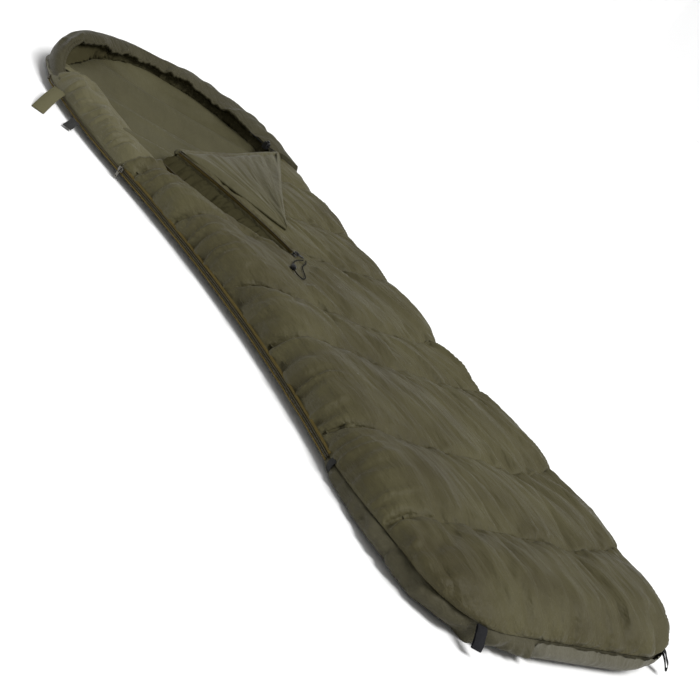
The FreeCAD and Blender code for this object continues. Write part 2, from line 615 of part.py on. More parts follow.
def tab(node, length, width, thickness, place):
    """A flat strip of webbing from its root line (local Y) towards local -X."""
    body = doc.addObject("PartDesign::Body", f"{node}_body")
    strip = body_sketch(body, f"{node}_plan", "xy", 0, rounded(-length, 0, -width / 2, width / 2, 1.5))
    pad(body, f"{node}_pad", strip, thickness)
    return keep(node, body, place)


def tab_placement(root, turn, drop):
    """Turn the tab towards the foot in plan, and let its free end down by the drop."""
    return Placement(root, Rotation(Vector(0, 0, 1), turn) * Rotation(Vector(0, 1, 0), -drop))


tape_face = SIDE_X - STAND_OFF - TAPE
tab_place = tab_placement(Vector(tape_face - 3, 664, 31), 50.5, 9.5)
tab("hood_tab", size("hood_tab_length"), size("hood_tab_width"), size("webbing"), tab_place)
patch_lift = size("webbing")
patches = [("hood_tab_loop_patch", -8.0), ("hood_tab_hook_patch", -size("hood_tab_length") + size("tab_patch"))]
for node, start in patches:
    lifted = Placement(Vector(start, 0, patch_lift), Rotation())
    tab(node, size("tab_patch") - 2, size("hood_tab_width") - 5, 1.2, tab_place * lifted)
small_place = tab_placement(Vector(tape_face - 9, 530, 20), 42, 14)
tab("small_tab", size("small_tab_length"), size("small_tab_width"), size("webbing"), small_place)


# ---------------------------------------------------------------- hood rim, draw cord and cord lock

MOUTH = Vector(size("mouth_x"), size("mouth_y"), 0)
RIM_START, RIM_END = math.radians(14), math.radians(166)


def rim_ring(name, near, far, bottom, top, start=RIM_START, end=RIM_END):
    centre = (MOUTH.x, MOUTH.y)
    corners = [(centre[0] + r * math.cos(a), centre[1] + r * math.sin(a)) for r, a in
               ((near, start), (far, start), (far, end), (near, end))]
    plan = sketch(f"{name}_plan", [arc(centre, near, start, end), arc(centre, far, start, end),
                                   line(corners[0], corners[1]), line(corners[2], corners[3])])
    return prism(f"{name}_block", plan, bottom, top)


rim_near = size("mouth_radius") - 0.5 - size("rim_width")
rim_far = size("mouth_radius") - 0.5
rim_block = rim_ring("rim", rim_near, rim_far, "Sizes.rim_bottom", "Sizes.rim_bottom + Sizes.rim_height")
cord_line = (rim_near + rim_far) / 2
cord_room = size("hood_cord_radius") + 0.4
room_block = rim_ring("rim_room", cord_line - cord_room, cord_line + cord_room,
                      "Sizes.rim_bottom + 4", "Sizes.rim_bottom + 8")
keep("hood_rim_channel", cut("rim_channel", rim_block, room_block))

cord_start = math.radians(7.5)
cord_arc = arc((MOUTH.x, MOUTH.y), cord_line, cord_start, RIM_END - 0.02)
cord_item = doc.addObject("Part::Feature", "hood_cord_rod")
cord_point = MOUTH + Vector(math.cos(cord_start), math.sin(cord_start), 0) * cord_line
cord_ring = Part.Circle(cord_point, Vector(-math.sin(cord_start), math.cos(cord_start), 0), size("hood_cord_radius"))
cord_item.Shape = Part.Wire([cord_arc.toShape()]).makePipeShell([Part.Wire([cord_ring.toShape()])], True, True)
CORD_Z = size("rim_bottom") + 6
keep("hood_cord", cord_item, Placement(Vector(0, 0, CORD_Z), Rotation()))


def lock_body(node):
    """Cord lock: a block with a cross hole along local Y for the cord and a bore along local X."""
    body = doc.addObject("PartDesign::Body", f"{node}_body")
    half, length = size("lock_width") / 2, size("lock_length")
    block = body_sketch(body, f"{node}_block", "xy", -half, rounded(-length / 2, length / 2, -half, half, 3))
    pad(body, f"{node}_block_pad", block, "Sizes.lock_width")
    bore = body_sketch(body, f"{node}_bore", "yz", -length / 2 + 2,
                       [Part.Circle(Vector(0, 0, 0), Vector(0, 0, 1), size("plunger_radius") + 0.35)])
    pocket(body, f"{node}_bore_cut", bore, "Sizes.lock_length")
    cross = body_sketch(body, f"{node}_cross", "xz", -half - 1,
                        [Part.Circle(Vector(0, 0, 0), Vector(0, 0, 1), 2.3)])
    pocket(body, f"{node}_cross_cut", cross, "Sizes.lock_width + 2")
    return body


def plunger_body(node):
    """Plunger with a button, sliding along local X, with a slot for the cord."""
    body = doc.addObject("PartDesign::Body", f"{node}_body")
    length = size("lock_length")
    radius = size("plunger_radius")
    stem = body_sketch(body, f"{node}_stem", "yz", -length / 2 + 7,
                       [Part.Circle(Vector(0, 0, 0), Vector(0, 0, 1), radius)])
    pad(body, f"{node}_stem_pad", stem, "Sizes.lock_length - 7 + Sizes.plunger_travel + 1.5")
    slot = body_sketch(body, f"{node}_slot", "xz", -radius - 1, rounded(-2.2, 5.3, -2.2, 2.2, 2.1))
    pocket(body, f"{node}_slot_cut", slot, "2 * Sizes.plunger_radius + 2")
    return body


lock_angle = math.radians(11.0)
lock_at = MOUTH + Vector(math.cos(lock_angle), math.sin(lock_angle), 0) * cord_line + Vector(0, 0, CORD_Z)
# local X, the plunger's way, stands up, and local Y follows the cord
lock_turn = Rotation(Vector(0, 0, 1), math.degrees(lock_angle)) * Rotation(Vector(0, 1, 0), -90)
lock_place = Placement(lock_at, lock_turn)
keep("cord_lock_body", lock_body("cord_lock"), lock_place)
keep("cord_lock_plunger", plunger_body("cord_plunger"), lock_place)
spring = doc.addObject("PartDesign::Body", "cord_spring_body")
spring_ring = [Part.Circle(Vector(0, 0, 0), Vector(0, 0, 1), r) for r in (3.4, 2.4)]
spring_sketch = body_sketch(spring, "cord_spring_plan", "yz", -size("lock_length") / 2 + 2.3, spring_ring)
pad(spring, "cord_spring_pad", spring_sketch, "4.4")
keep("cord_lock_spring", spring, lock_place)

# ---------------------------------------------------------------- cord loop and toggle on the chest pull

TOGGLE_Z = size("body_height") + size("toggle_radius") + 0.9
cord_points = [Vector(x, y, height) for x, y, height in (
    (-53, 14, PULL_Z), (-62, -3, PULL_Z), (-80, -16, PULL_Z), (-95, -33, PULL_Z), (-105, -53, PULL_Z),
    (-113, -74, PULL_Z), (-124, -91, PULL_Z), (-138, -98, PULL_Z), (-147, -88, TOGGLE_Z),
    (-144, -66, TOGGLE_Z), (-131, -41, TOGGLE_Z), (-109, -15, TOGGLE_Z), (-86, 1, TOGGLE_Z), (-64, 10, PULL_Z),
)]
CORNER_SHARE, CORNER_REACH = 0.45, 9.5


def cord_path(points):
    """Straight runs joined by the largest tangent arcs that the runs allow."""
    edges, here, radii = [], points[0], []
    for before, at, after in zip(points, points[1:], points[2:]):
        back, ahead = (before - at), (after - at)
        reach = min(CORNER_REACH, CORNER_SHARE * min(back.Length, ahead.Length))
        half_turn = (HALF_TURN - back.getAngle(ahead)) / 2
        radii.append(reach / math.tan(half_turn))
        start = at + back.normalize() * reach
        end = at + ahead.normalize() * reach
        middle = (start + end) / 2
        bisector = (middle - at).normalize()
        centre_way = math.hypot(reach, radii[-1])
        top = at + bisector * (centre_way - radii[-1])
        if (start - here).Length > 1e-6:
            edges.append(Part.LineSegment(here, start).toShape())
        edges.append(Part.Arc(start, top, end).toShape())
        here = end
    edges.append(Part.LineSegment(here, points[-1]).toShape())
    print("cord arc radii", [round(r, 1) for r in radii])
    return Part.Wire(edges)


path = cord_path(cord_points)
first_way = (cord_points[1] - cord_points[0]).normalize()
section = Part.Wire([Part.Circle(cord_points[0], first_way, size("pull_cord_radius")).toShape()])
pull_cord = doc.addObject("Part::Feature", "chest_cord_rod")
pull_cord.Shape = path.makePipeShell([section], True, True)
expected = path.Length * math.pi * size("pull_cord_radius") ** 2
print("cord length", round(path.Length, 1), "volume ratio", round(pull_cord.Shape.Volume / expected, 3))
keep("chest_pull_cord", pull_cord)

toggle = doc.addObject("PartDesign::Body", "chest_toggle_body")
toggle_half = size("toggle_length") / 2
end_radius = size("toggle_radius") * 0.7
bore_radius = size("pull_cord_radius") + 0.35
rise = size("toggle_radius") - end_radius
barrel_radius = (toggle_half ** 2 + rise ** 2) / (2 * rise)
barrel_angle = math.asin(toggle_half / barrel_radius)
toggle_profile = [
    line((-toggle_half, bore_radius), (toggle_half, bore_radius)),
    line((toggle_half, bore_radius), (toggle_half, end_radius)),
    arc((0, size("toggle_radius") - barrel_radius), barrel_radius, QUARTER - barrel_angle, QUARTER + barrel_angle),
    line((-toggle_half, end_radius), (-toggle_half, bore_radius)),
]
toggle_sketch = body_sketch(toggle, "chest_toggle_profile", "xy", 0, toggle_profile)
turn = toggle.newObject("PartDesign::Revolution", "chest_toggle_turn")
turn.Profile = toggle_sketch
turn.ReferenceAxis = (toggle_sketch, ["H_Axis"])
turn.Angle = 360
toggle_run = cord_points[10] - cord_points[9]
toggle_at = (cord_points[9] + cord_points[10]) / 2
toggle_turn = math.degrees(math.atan2(toggle_run.y, toggle_run.x))
keep("chest_toggle", toggle, Placement(toggle_at, Rotation(Vector(0, 0, 1), toggle_turn)))

# ---------------------------------------------------------------- check and export

doc.recompute()
for item in doc.Objects:
    states = [state for state in item.State if state in ("Invalid", "Error")]
    if states:
        raise SystemExit(f"{item.Name} ({item.Label}) is {states}")
os.makedirs("parts", exist_ok=True)
for node, item in parts.items():
    shape = item.Shape
    if shape.isNull() or not shape.isValid() or not shape.Solids:
        raise SystemExit(f"{node} has no valid solid")
for node, item in parts.items():
    item.Shape.exportStep(f"parts/{node}.step")
    box = item.Shape.BoundBox
    print(f"{node:24s} solids {len(item.Shape.Solids)} x {box.XMin:.0f}..{box.XMax:.0f} "
          f"y {box.YMin:.0f}..{box.YMax:.0f} z {box.ZMin:.1f}..{box.ZMax:.1f}")
print(f"{len(parts)} sub-parts")
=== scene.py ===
import math
import bpy
import numpy as np
from mathutils import Matrix, Vector
from mathutils.bvhtree import BVHTree


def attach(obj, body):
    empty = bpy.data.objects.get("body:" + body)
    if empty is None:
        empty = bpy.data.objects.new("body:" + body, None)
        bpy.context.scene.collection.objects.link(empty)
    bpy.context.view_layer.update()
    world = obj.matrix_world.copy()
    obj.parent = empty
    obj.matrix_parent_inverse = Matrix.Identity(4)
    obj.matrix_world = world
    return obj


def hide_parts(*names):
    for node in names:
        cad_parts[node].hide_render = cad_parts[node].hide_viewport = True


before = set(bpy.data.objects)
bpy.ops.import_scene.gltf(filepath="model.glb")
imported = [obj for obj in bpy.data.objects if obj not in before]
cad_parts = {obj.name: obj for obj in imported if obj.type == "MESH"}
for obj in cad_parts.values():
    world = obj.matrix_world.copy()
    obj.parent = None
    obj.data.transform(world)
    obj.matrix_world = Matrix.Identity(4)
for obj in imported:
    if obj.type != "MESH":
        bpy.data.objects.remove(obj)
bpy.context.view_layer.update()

# Quilted mummy sleeping bag, lying zipped. Metres, in the frame's axes.
# The side zip is at -X, the hood at +Y, and the floor at z = 0.

PI = math.pi

# ---- the camera


CAMERA_AZIMUTH, CAMERA_ELEVATION, CAMERA_ROLL = -47.8, 16.4, 37.2
CAMERA_DISTANCE, CAMERA_TARGET = 3.24, Vector((0.09, -0.125, 0.0))
SENSOR_WIDTH, FOCAL_SHARE = 36.0, 1430.0 / 700.0


def add_camera():
    azimuth, elevation, roll = (math.radians(a) for a in (CAMERA_AZIMUTH, CAMERA_ELEVATION, CAMERA_ROLL))
    distance, target = CAMERA_DISTANCE, CAMERA_TARGET
    back = Vector((math.sin(azimuth) * math.cos(elevation), -math.cos(azimuth) * math.cos(elevation),
                   math.sin(elevation)))
    right = Vector((math.cos(azimuth), math.sin(azimuth), 0))
    up = back.cross(right)
    right_rolled = right * math.cos(roll) + up * math.sin(roll)
    up_rolled = up * math.cos(roll) - right * math.sin(roll)
    lens = bpy.data.cameras.new("camera")
    lens.sensor_width = SENSOR_WIDTH
    lens.lens = FOCAL_SHARE * SENSOR_WIDTH
    item = bpy.data.objects.new("camera", lens)
    item.matrix_world = Matrix((
        (right_rolled.x, up_rolled.x, back.x, target.x + back.x * distance),
        (right_rolled.y, up_rolled.y, back.y, target.y + back.y * distance),
        (right_rolled.z, up_rolled.z, back.z, target.z + back.z * distance),
        (0, 0, 0, 1)))
    bpy.context.scene.collection.objects.link(item)
    bpy.context.scene.camera = item


add_camera()

# ---- materials


def new_material(name):
    """A material, its shader, its node tree and the object's own coordinates."""
    item = bpy.data.materials.new(name)
    item.use_nodes = True
    tree = item.node_tree
    place = tree.nodes.new("ShaderNodeTexCoord").outputs["Object"]
    return item, tree.nodes["Principled BSDF"], tree, place


def material(name, color, roughness):
    item = bpy.data.materials.new(name)
    item.use_nodes = True
    shader = item.node_tree.nodes["Principled BSDF"]
    shader.inputs["Base Color"].default_value = (*color, 1)
    shader.inputs["Roughness"].default_value = roughness
    return item


def texture(tree, kind, vector=None, **values):
    node = tree.nodes.new(kind)
    for key, value in values.items():
        if key in node.inputs:
            node.inputs[key].default_value = value
        else:
            setattr(node, key, value)
    if vector is not None:
        tree.links.new(vector, node.inputs["Vector"])
    return node


def stretched(tree, place, turn, scale):
    """Object coordinates turned about Z and scaled, for grain that runs one way."""
    node = tree.nodes.new("ShaderNodeMapping")
    node.inputs["Rotation"].default_value = (0, 0, turn)
    node.inputs["Scale"].default_value = scale
    tree.links.new(place, node.inputs["Vector"])
    return node.outputs["Vector"]


def two_tones(tree, share, dark, light):
    """A ramp from the dark to the light tone."""
    node = tree.nodes.new("ShaderNodeValToRGB")
    node.color_ramp.elements[0].color, node.color_ramp.elements[1].color = (*dark, 1), (*light, 1)
    tree.links.new(share, node.inputs["Fac"])
    return node


def gloss(tree, share, roughness, shader):
    """Roughness that runs between two values."""
    node = tree.nodes.new("ShaderNodeMapRange")
    node.inputs["To Min"].default_value, node.inputs["To Max"].default_value = roughness
    tree.links.new(share, node.inputs["Value"])
    tree.links.new(node.outputs["Result"], shader.inputs["Roughness"])


def bump(tree, height, distance, strength, before=None):
    node = tree.nodes.new("ShaderNodeBump")
    node.inputs["Distance"].default_value = distance
    node.inputs["Strength"].default_value = strength
    tree.links.new(height, node.inputs["Height"])
    if before is not None:
        tree.links.new(before, node.inputs["Normal"])
    return node.outputs["Normal"]


WEAVE, GRAIN, WAVE_PER_PITCH = 0.0011, 0.35, 0.314


def cloth(name, dark, light, roughness=(0.52, 0.68), sheen=0.03, wrinkle=0.5, shine=0.14):
    """Woven satin: two close tones in soft patches, crossing threads, and fine creases one way."""
    item, shader, tree, place = new_material(name)
    patches = texture(tree, "ShaderNodeTexNoise", place, Scale=5.0, Detail=4.0, Roughness=0.6)
    tones = two_tones(tree, patches.outputs["Fac"], dark, light)
    tones.color_ramp.elements[0].position, tones.color_ramp.elements[1].position = 0.32, 0.68
    warp, weft = (texture(tree, "ShaderNodeTexWave", place, Scale=WAVE_PER_PITCH / WEAVE, Distortion=1.2,
                          bands_direction=way) for way in "XY")
    threads = tree.nodes.new("ShaderNodeMath")
    threads.operation = "ADD"
    tree.links.new(warp.outputs["Fac"], threads.inputs[0])
    tree.links.new(weft.outputs["Fac"], threads.inputs[1])
    slub = texture(tree, "ShaderNodeTexNoise", place, Scale=900.0, Detail=2.0)
    thread_shade = tree.nodes.new("ShaderNodeMix")
    thread_shade.data_type = "RGBA"
    thread_shade.blend_type = "MULTIPLY"
    thread_shade.inputs["Factor"].default_value = GRAIN
    tree.links.new(tones.outputs["Color"], thread_shade.inputs["A"])
    tree.links.new(slub.outputs["Fac"], thread_shade.inputs["B"])
    tree.links.new(thread_shade.outputs["Result"], shader.inputs["Base Color"])
    gloss(tree, patches.outputs["Fac"], roughness, shader)
    creases = texture(tree, "ShaderNodeTexNoise", stretched(tree, place, 0.50, (55, 9, 55)), Scale=1.0,
                      Detail=5.0, Roughness=0.55)
    crumple = texture(tree, "ShaderNodeTexNoise", place, Scale=85.0, Detail=3.0, Roughness=0.5)
    normal = bump(tree, threads.outputs["Value"], WEAVE * 0.3, 0.25)
    normal = bump(tree, crumple.outputs["Fac"], 0.0012, 0.35 * wrinkle, normal)
    normal = bump(tree, creases.outputs["Fac"], 0.0085, wrinkle, normal)
    tree.links.new(normal, shader.inputs["Normal"])
    shader.inputs["Sheen Weight"].default_value = sheen
    shader.inputs["Sheen Roughness"].default_value = 0.45
    shader.inputs["Specular IOR Level"].default_value = shine
    return item


def webbing(name, dark, light, pitch=0.0016):
    """Ribbed tape: threads across its width, with a fine slub."""
    item, shader, tree, place = new_material(name)
    ribs = texture(tree, "ShaderNodeTexWave", place, Scale=WAVE_PER_PITCH / pitch, Distortion=0.6,
                   bands_direction="DIAGONAL")
    slub = texture(tree, "ShaderNodeTexNoise", place, Scale=420.0, Detail=3.0)
    tones = two_tones(tree, slub.outputs["Fac"], dark, light)
    tree.links.new(tones.outputs["Color"], shader.inputs["Base Color"])
    normal = bump(tree, slub.outputs["Fac"], 0.0004, 0.5)
    tree.links.new(bump(tree, ribs.outputs["Fac"], 0.0005, 0.5, normal), shader.inputs["Normal"])
    shader.inputs["Roughness"].default_value = 0.85
    shader.inputs["Specular IOR Level"].default_value = 0.04
    return item


def hard(name, dark, light, metallic, roughness, scale):
    """Cast metal or moulded plastic with faint wear in its gloss and tone."""
    item, shader, tree, place = new_material(name)
    wear = texture(tree, "ShaderNodeTexNoise", place, Scale=scale, Detail=5.0, Roughness=0.65)
    tones = two_tones(tree, wear.outputs["Fac"], dark, light)
    tree.links.new(tones.outputs["Color"], shader.inputs["Base Color"])
    gloss(tree, wear.outputs["Fac"], roughness, shader)
    tree.links.new(bump(tree, wear.outputs["Fac"], 0.0002, 0.4), shader.inputs["Normal"])
    shader.inputs["Metallic"].default_value = metallic
    shader.inputs["Specular IOR Level"].default_value = 0.25
    return item


OUTER = cloth("outer_cloth", (0.058, 0.050, 0.022), (0.094, 0.085, 0.040), (0.44, 0.60), wrinkle=0.85)
HOOD_CLOTH = cloth("hood_cloth", (0.042, 0.037, 0.018), (0.060, 0.054, 0.028), wrinkle=0.7)
# painted shade: the lower half's cloth is toned a little darker and greyer than the top's cloth, for its
# sides that face away from the light
UNDER = cloth("under_cloth_painted_shade", (0.060, 0.054, 0.030), (0.082, 0.075, 0.045), wrinkle=0.8)
# painted light: the foot-end panel is toned lighter and greyer than the shell, for the foot end that faces
# the light
FOOT_LIT_CLOTH = cloth("foot_cloth_painted_light", (0.100, 0.093, 0.064), (0.124, 0.117, 0.084), wrinkle=0.6)
LINING = cloth("lining_cloth", (0.062, 0.056, 0.027), (0.086, 0.079, 0.040), (0.48, 0.66), wrinkle=0.45)
# painted shade: the lining on the hood's inner wall is toned darker than the other lining, for the shade
# under the hood's lip, and has no specular
HOOD_LINING_SHADED = cloth("hood_lining_cloth_painted_shade", (0.042, 0.037, 0.018), (0.062, 0.056, 0.030), (0.6, 0.8),
                    sheen=0.0, wrinkle=0.6, shine=0.0)
TUBE_CLOTH = cloth("draft_tube_cloth", (0.100, 0.091, 0.046), (0.132, 0.121, 0.065), (0.38, 0.55),
                   wrinkle=0.6)
# painted shade: the cloth in the chest slit is toned much darker than the outer cloth, for the shade in the
# recess, and has no specular
SLIT_SHADED_CLOTH = cloth("slit_tube_cloth_painted_shade", (0.034, 0.030, 0.014), (0.052, 0.047, 0.024), (0.7, 0.85),
                   sheen=0.0, wrinkle=0.8, shine=0.0)
FLAP_CLOTH = cloth("flap_cloth", (0.070, 0.063, 0.030), (0.094, 0.086, 0.044), (0.38, 0.56), wrinkle=0.45)
TAPE = webbing("zip_tape", (0.080, 0.059, 0.017), (0.115, 0.087, 0.030), 0.0012)
COIL = hard("zip_coil", (0.028, 0.022, 0.010), (0.050, 0.041, 0.020), 0.0, (0.4, 0.6), 300.0)
BLACK_WEB = webbing("black_webbing", (0.010, 0.010, 0.011), (0.026, 0.026, 0.028), 0.0016)
GREY_WEB = webbing("dark_grey_webbing", (0.022, 0.022, 0.022), (0.045, 0.045, 0.043), 0.0016)
OLIVE_WEB = webbing("olive_webbing", (0.085, 0.079, 0.042), (0.125, 0.117, 0.068), 0.0015)
PATCH = webbing("hook_and_loop", (0.185, 0.188, 0.066), (0.260, 0.262, 0.110), 0.0009)
NICKEL = hard("nickel", (0.12, 0.115, 0.10), (0.20, 0.19, 0.17), 1.0, (0.35, 0.55), 180.0)
BLACK_PLASTIC = hard("black_plastic", (0.010, 0.010, 0.010), (0.022, 0.022, 0.022), 0.0, (0.28, 0.45), 240.0)
CORD = webbing("cord_braid", (0.008, 0.008, 0.008), (0.022, 0.022, 0.022), 0.0010)
SPRING = hard("spring_wire", (0.45, 0.45, 0.45), (0.62, 0.62, 0.62), 1.0, (0.2, 0.35), 300.0)
THREAD = material("thread", (0.060, 0.055, 0.032), 0.7)


def paint(item, mat):
    item.data.materials.clear()
    item.data.materials.append(mat)


# ---- small tools


def noise(x, y, seed):
    """Smooth value noise from -1 to 1, one lattice cell per unit."""
    table = np.random.default_rng(seed).uniform(-1, 1, (256, 256))
    x, y = np.broadcast_arrays(np.asarray(x, float), np.asarray(y, float))
    xi, yi = np.floor(x).astype(int), np.floor(y).astype(int)
    fx, fy = x - xi, y - yi
    fx, fy = fx * fx * (3 - 2 * fx), fy * fy * (3 - 2 * fy)
    rows, next_rows = xi % 256, (xi + 1) % 256
    cols, next_cols = yi % 256, (yi + 1) % 256
    low = table[rows, cols] * (1 - fx) + table[next_rows, cols] * fx
    high = table[rows, next_cols] * (1 - fx) + table[next_rows, next_cols] * fx
    return low * (1 - fy) + high * fy


def folds(x, y, seed):
    """Noise with narrow crests between soft hollows, from -1 to 0.75."""
    return 1 - 2 * np.sqrt(noise(x, y, seed) ** 2 + 0.015)


def clamp(share):
    return min(1.0, max(0.0, share))


def step(x, low, high):
    """Smooth step from 0 at low to 1 at high."""
    t = np.clip((x - low) / (high - low), 0, 1)
    return t * t * (3 - 2 * t)


def dome(share):
    """Quarter-circle rise from 0 at 0 to 1 at 1."""
    return np.sqrt(1 - (1 - np.clip(share, 0, 1)) ** 2)


def fade(distance, reach):
    """1 at and before 0, then falling off over the reach."""
    return np.exp(-np.maximum(distance, 0) / reach)


def bell(distance, width):
    """1 at 0, falling off smoothly on both sides."""
    return np.exp(-(distance / width) ** 2)


def run_along(points):
    """Length along a polyline at each of its points."""
    return np.concatenate([[0], np.cumsum(np.linalg.norm(np.diff(points, axis=0), axis=1))])


def points_at(places, run, points):
    """Points of a polyline at places along its run."""
    return np.stack([np.interp(places, run, points[:, k]) for k in range(points.shape[1])], -1)


def finer(profile, count):
    """A profile drawn with more points, spread evenly over the given ones."""
    order = np.arange(len(profile))
    return points_at(np.linspace(0, order[-1], count), order, np.array(profile))


def turned(way):
    """Plan directions turned a quarter to the left."""
    return np.stack([-way[:, 1], way[:, 0]], 1)


def raised(plan, height):
    """Plan points or directions with a height, one for all or one each."""
    return np.column_stack([plan, np.broadcast_to(height, len(plan))])


def shade_smooth(data):
    data.polygons.foreach_set("use_smooth", [True] * len(data.polygons))


def mesh_piece(name, verts, faces, body, *nodes):
    """A smooth-shaded mesh that rides on a body and stands for CAD nodes."""
    data = bpy.data.meshes.new(name)
    data.from_pydata([tuple(map(float, v)) for v in verts], [], [tuple(map(int, f)) for f in faces])
    data.validate()
    shade_smooth(data)
    item = bpy.data.objects.new(name, data)
    bpy.context.scene.collection.objects.link(item)
    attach(item, body)
    if nodes:
        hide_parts(*nodes)
    return item


def grid_faces(rows, cols, keep=None, wrap=False):
    faces = []
    across = cols if wrap else cols - 1
    for i in range(rows - 1):
        for j in range(across):
            if keep is None or keep[i, j]:
                k = (j + 1) % cols
                faces.append((i * cols + j, i * cols + k, (i + 1) * cols + k, (i + 1) * cols + j))
    return faces


def sheet_piece(name, points, body, *nodes, keep=None, wrap=False, flip=False):
    """A mesh from an array of rows by columns of points; cells where keep is false are left out."""
    rows, cols = points.shape[:2]
    faces = grid_faces(rows, cols, keep, wrap)
    if flip:
        faces = [face[::-1] for face in faces]
    used = sorted({v for face in faces for v in face})
    index = {v: n for n, v in enumerate(used)}
    verts = points.reshape(-1, 3)[used]
    return mesh_piece(name, verts, [[index[v] for v in face] for face in faces], body, *nodes)


def sweep(name, path, side, up, profile, body, *nodes):
    """A closed profile of (side, up) points carried along a path, with both ends capped."""
    profile = np.asarray(profile, float)
    if profile.ndim == 2:
        profile = np.broadcast_to(profile, (len(path), *profile.shape))
    rings = path[:, None] + side[:, None] * profile[..., 0:1] + up[:, None] * profile[..., 1:2]
    rows, cols = rings.shape[:2]
    faces = grid_faces(rows, cols, wrap=True)
    faces += [list(range(cols))[::-1], [(rows - 1) * cols + j for j in range(cols)]]
    return mesh_piece(name, rings.reshape(-1, 3), faces, body, *nodes)


def strip_profile(width, thick):
    """A flat strip's cross-section with rounded edges, centred."""
    w, h = width / 2, thick / 2
    return np.array([(-w + h, -h), (0, -h), (w - h, -h), (w, 0), (w - h, h), (0, h), (-w + h, h), (-w, 0)])


def round_profile(radius, sides=8):
    turn = np.arange(sides) * 2 * PI / sides
    return np.stack([radius * np.cos(turn), radius * np.sin(turn)], 1)


def unit(v):
    v = np.asarray(v, float)
    return v / np.maximum(np.linalg.norm(v, axis=-1, keepdims=True), 1e-12)


def tangents(path):
    return unit(np.gradient(path, axis=0))


def flat_frame(path):
    """Side and up directions along a path that lies about level."""
    side = unit(np.cross(tangents(path), (0, 0, 1.0)))
    return side, unit(np.cross(side, tangents(path)))


def resample(path, gap):
    """Points spaced evenly along a polyline."""
    path = np.asarray(path, float)
    run = run_along(path)
    at = np.linspace(0, run[-1], max(int(run[-1] / gap), 3))
    return points_at(at, run, path), at


def apply_modifiers(item):
    bpy.context.view_layer.update()
    done = bpy.data.meshes.new_from_object(item.evaluated_get(bpy.context.evaluated_depsgraph_get()))
    item.modifiers.clear()
    item.data = done


def subdivide(item):
    item.modifiers.new("smooth", "SUBSURF").levels = 1
    apply_modifiers(item)
    shade_smooth(item.data)


def coords(item, kind="co"):
    """The vertices' places, or their normals when kind is "normal"."""
    flat = np.empty(len(item.data.vertices) * 3)
    item.data.vertices.foreach_get(kind, flat)
    return flat.reshape(-1, 3)


def set_coords(item, points):
    item.data.vertices.foreach_set("co", np.asarray(points, float).ravel())
    item.data.update()


def swell(item, pinned, pressure, frames, slack, cap):
    """Blow a sewn piece up as cloth: pinned points are its seams, slack is its extra cloth."""
    start = coords(item)
    group = item.vertex_groups.new(name="seam")
    for weight in np.unique(pinned):
        if weight > 0:
            group.add([int(i) for i in np.nonzero(pinned == weight)[0]], float(weight), "REPLACE")
    sim = item.modifiers.new("cloth", "CLOTH")
    for key, value in {"vertex_group_mass": "seam", "quality": 5, "mass": 0.15, "tension_stiffness": 12,
                       "compression_stiffness": 12, "shear_stiffness": 4, "bending_stiffness": 0.15,
                       "air_damping": 4, "use_pressure": True, "uniform_pressure_force": pressure,
                       "shrink_min": -slack}.items():
        setattr(sim.settings, key, value)
    sim.settings.effector_weights.gravity = 0
    sim.collision_settings.use_collision = False
    sim.point_cache.frame_end = frames
    for number in range(1, frames + 1):
        bpy.context.scene.frame_set(number)
    apply_modifiers(item)
    bpy.context.scene.frame_set(1)
    item.vertex_groups.clear()
    way = coords(item) - start
    far = np.linalg.norm(way, axis=1, keepdims=True)
    set_coords(item, start + way * np.minimum(1, cap / np.maximum(far, 1e-9)))


# ---- the plan

FOOT_Y, CROWN_Y, SIDE_X, FOLD_X = -1.105, 1.105, -0.3975, 0.385
ZIP_RADIUS, ZIP_X, ZIP_Y, ZIP_TURN = 2.80028, -3.13028, -0.165, math.radians(10.287)
FLARE = 1.4
FLARE_X, FLARE_RISE = SIDE_X + FLARE, (ZIP_RADIUS + FLARE) * math.sin(ZIP_TURN)
ZIP_FOOT, FOLD_FOOT, ZIP_CROWN, FOLD_CROWN = 0.14, 0.24, 0.42, 0.23
MOUTH, MOUTH_R = np.array([-0.015, 0.690]), 0.305
ZIP_LOW_Y, SLIDER_Y, ZIP_TOP_Y = -0.665, 0.335, 0.748


def corner_x(y, side, radius, centre_y, sign):
    """X of a round corner on the side, sign is -1 at the zip side and +1 at the folded side."""
    return side - sign * radius + sign * np.sqrt(np.maximum(radius ** 2 - (y - centre_y) ** 2, 0))


def left_edge(y):
    """X of the plan's zip side."""
    y = np.asarray(y, float)
    foot, crown = FOOT_Y + ZIP_FOOT, CROWN_Y - ZIP_CROWN
    zip_arc = ZIP_X + np.sqrt(ZIP_RADIUS ** 2 - (y - ZIP_Y) ** 2)
    low = FLARE_X - np.sqrt(FLARE ** 2 - np.clip(y - (ZIP_Y - FLARE_RISE), 0, 0.3) ** 2)
    high = FLARE_X - np.sqrt(FLARE ** 2 - np.clip(y - (ZIP_Y + FLARE_RISE), -0.3, 0) ** 2)
    side = np.where(y < ZIP_Y - 0.5, low, np.where(y > ZIP_Y + 0.5, high, zip_arc))
    side = np.where(y < foot, corner_x(y, SIDE_X, ZIP_FOOT, foot, -1), side)
    return np.where(y > crown, corner_x(y, SIDE_X, ZIP_CROWN, crown, -1), side)


def right_edge(y):
    y = np.asarray(y, float)
    foot, crown = FOOT_Y + FOLD_FOOT, CROWN_Y - FOLD_CROWN
    side = np.where(y < foot, corner_x(y, FOLD_X, FOLD_FOOT, foot, 1), FOLD_X)
    return np.where(y > crown, corner_x(y, FOLD_X, FOLD_CROWN, crown, 1), side)


def side_rows(foot, crown):
    """Y places up one side of the plan, closer together round its foot and crown corners."""
    turn = np.linspace(0, 1, 60) * PI / 2
    straight = np.linspace(FOOT_Y + foot, CROWN_Y - crown, 300)
    top = CROWN_Y - crown + crown * np.sin(turn)
    return np.concatenate([FOOT_Y + foot * (1 - np.cos(turn)), straight, top])


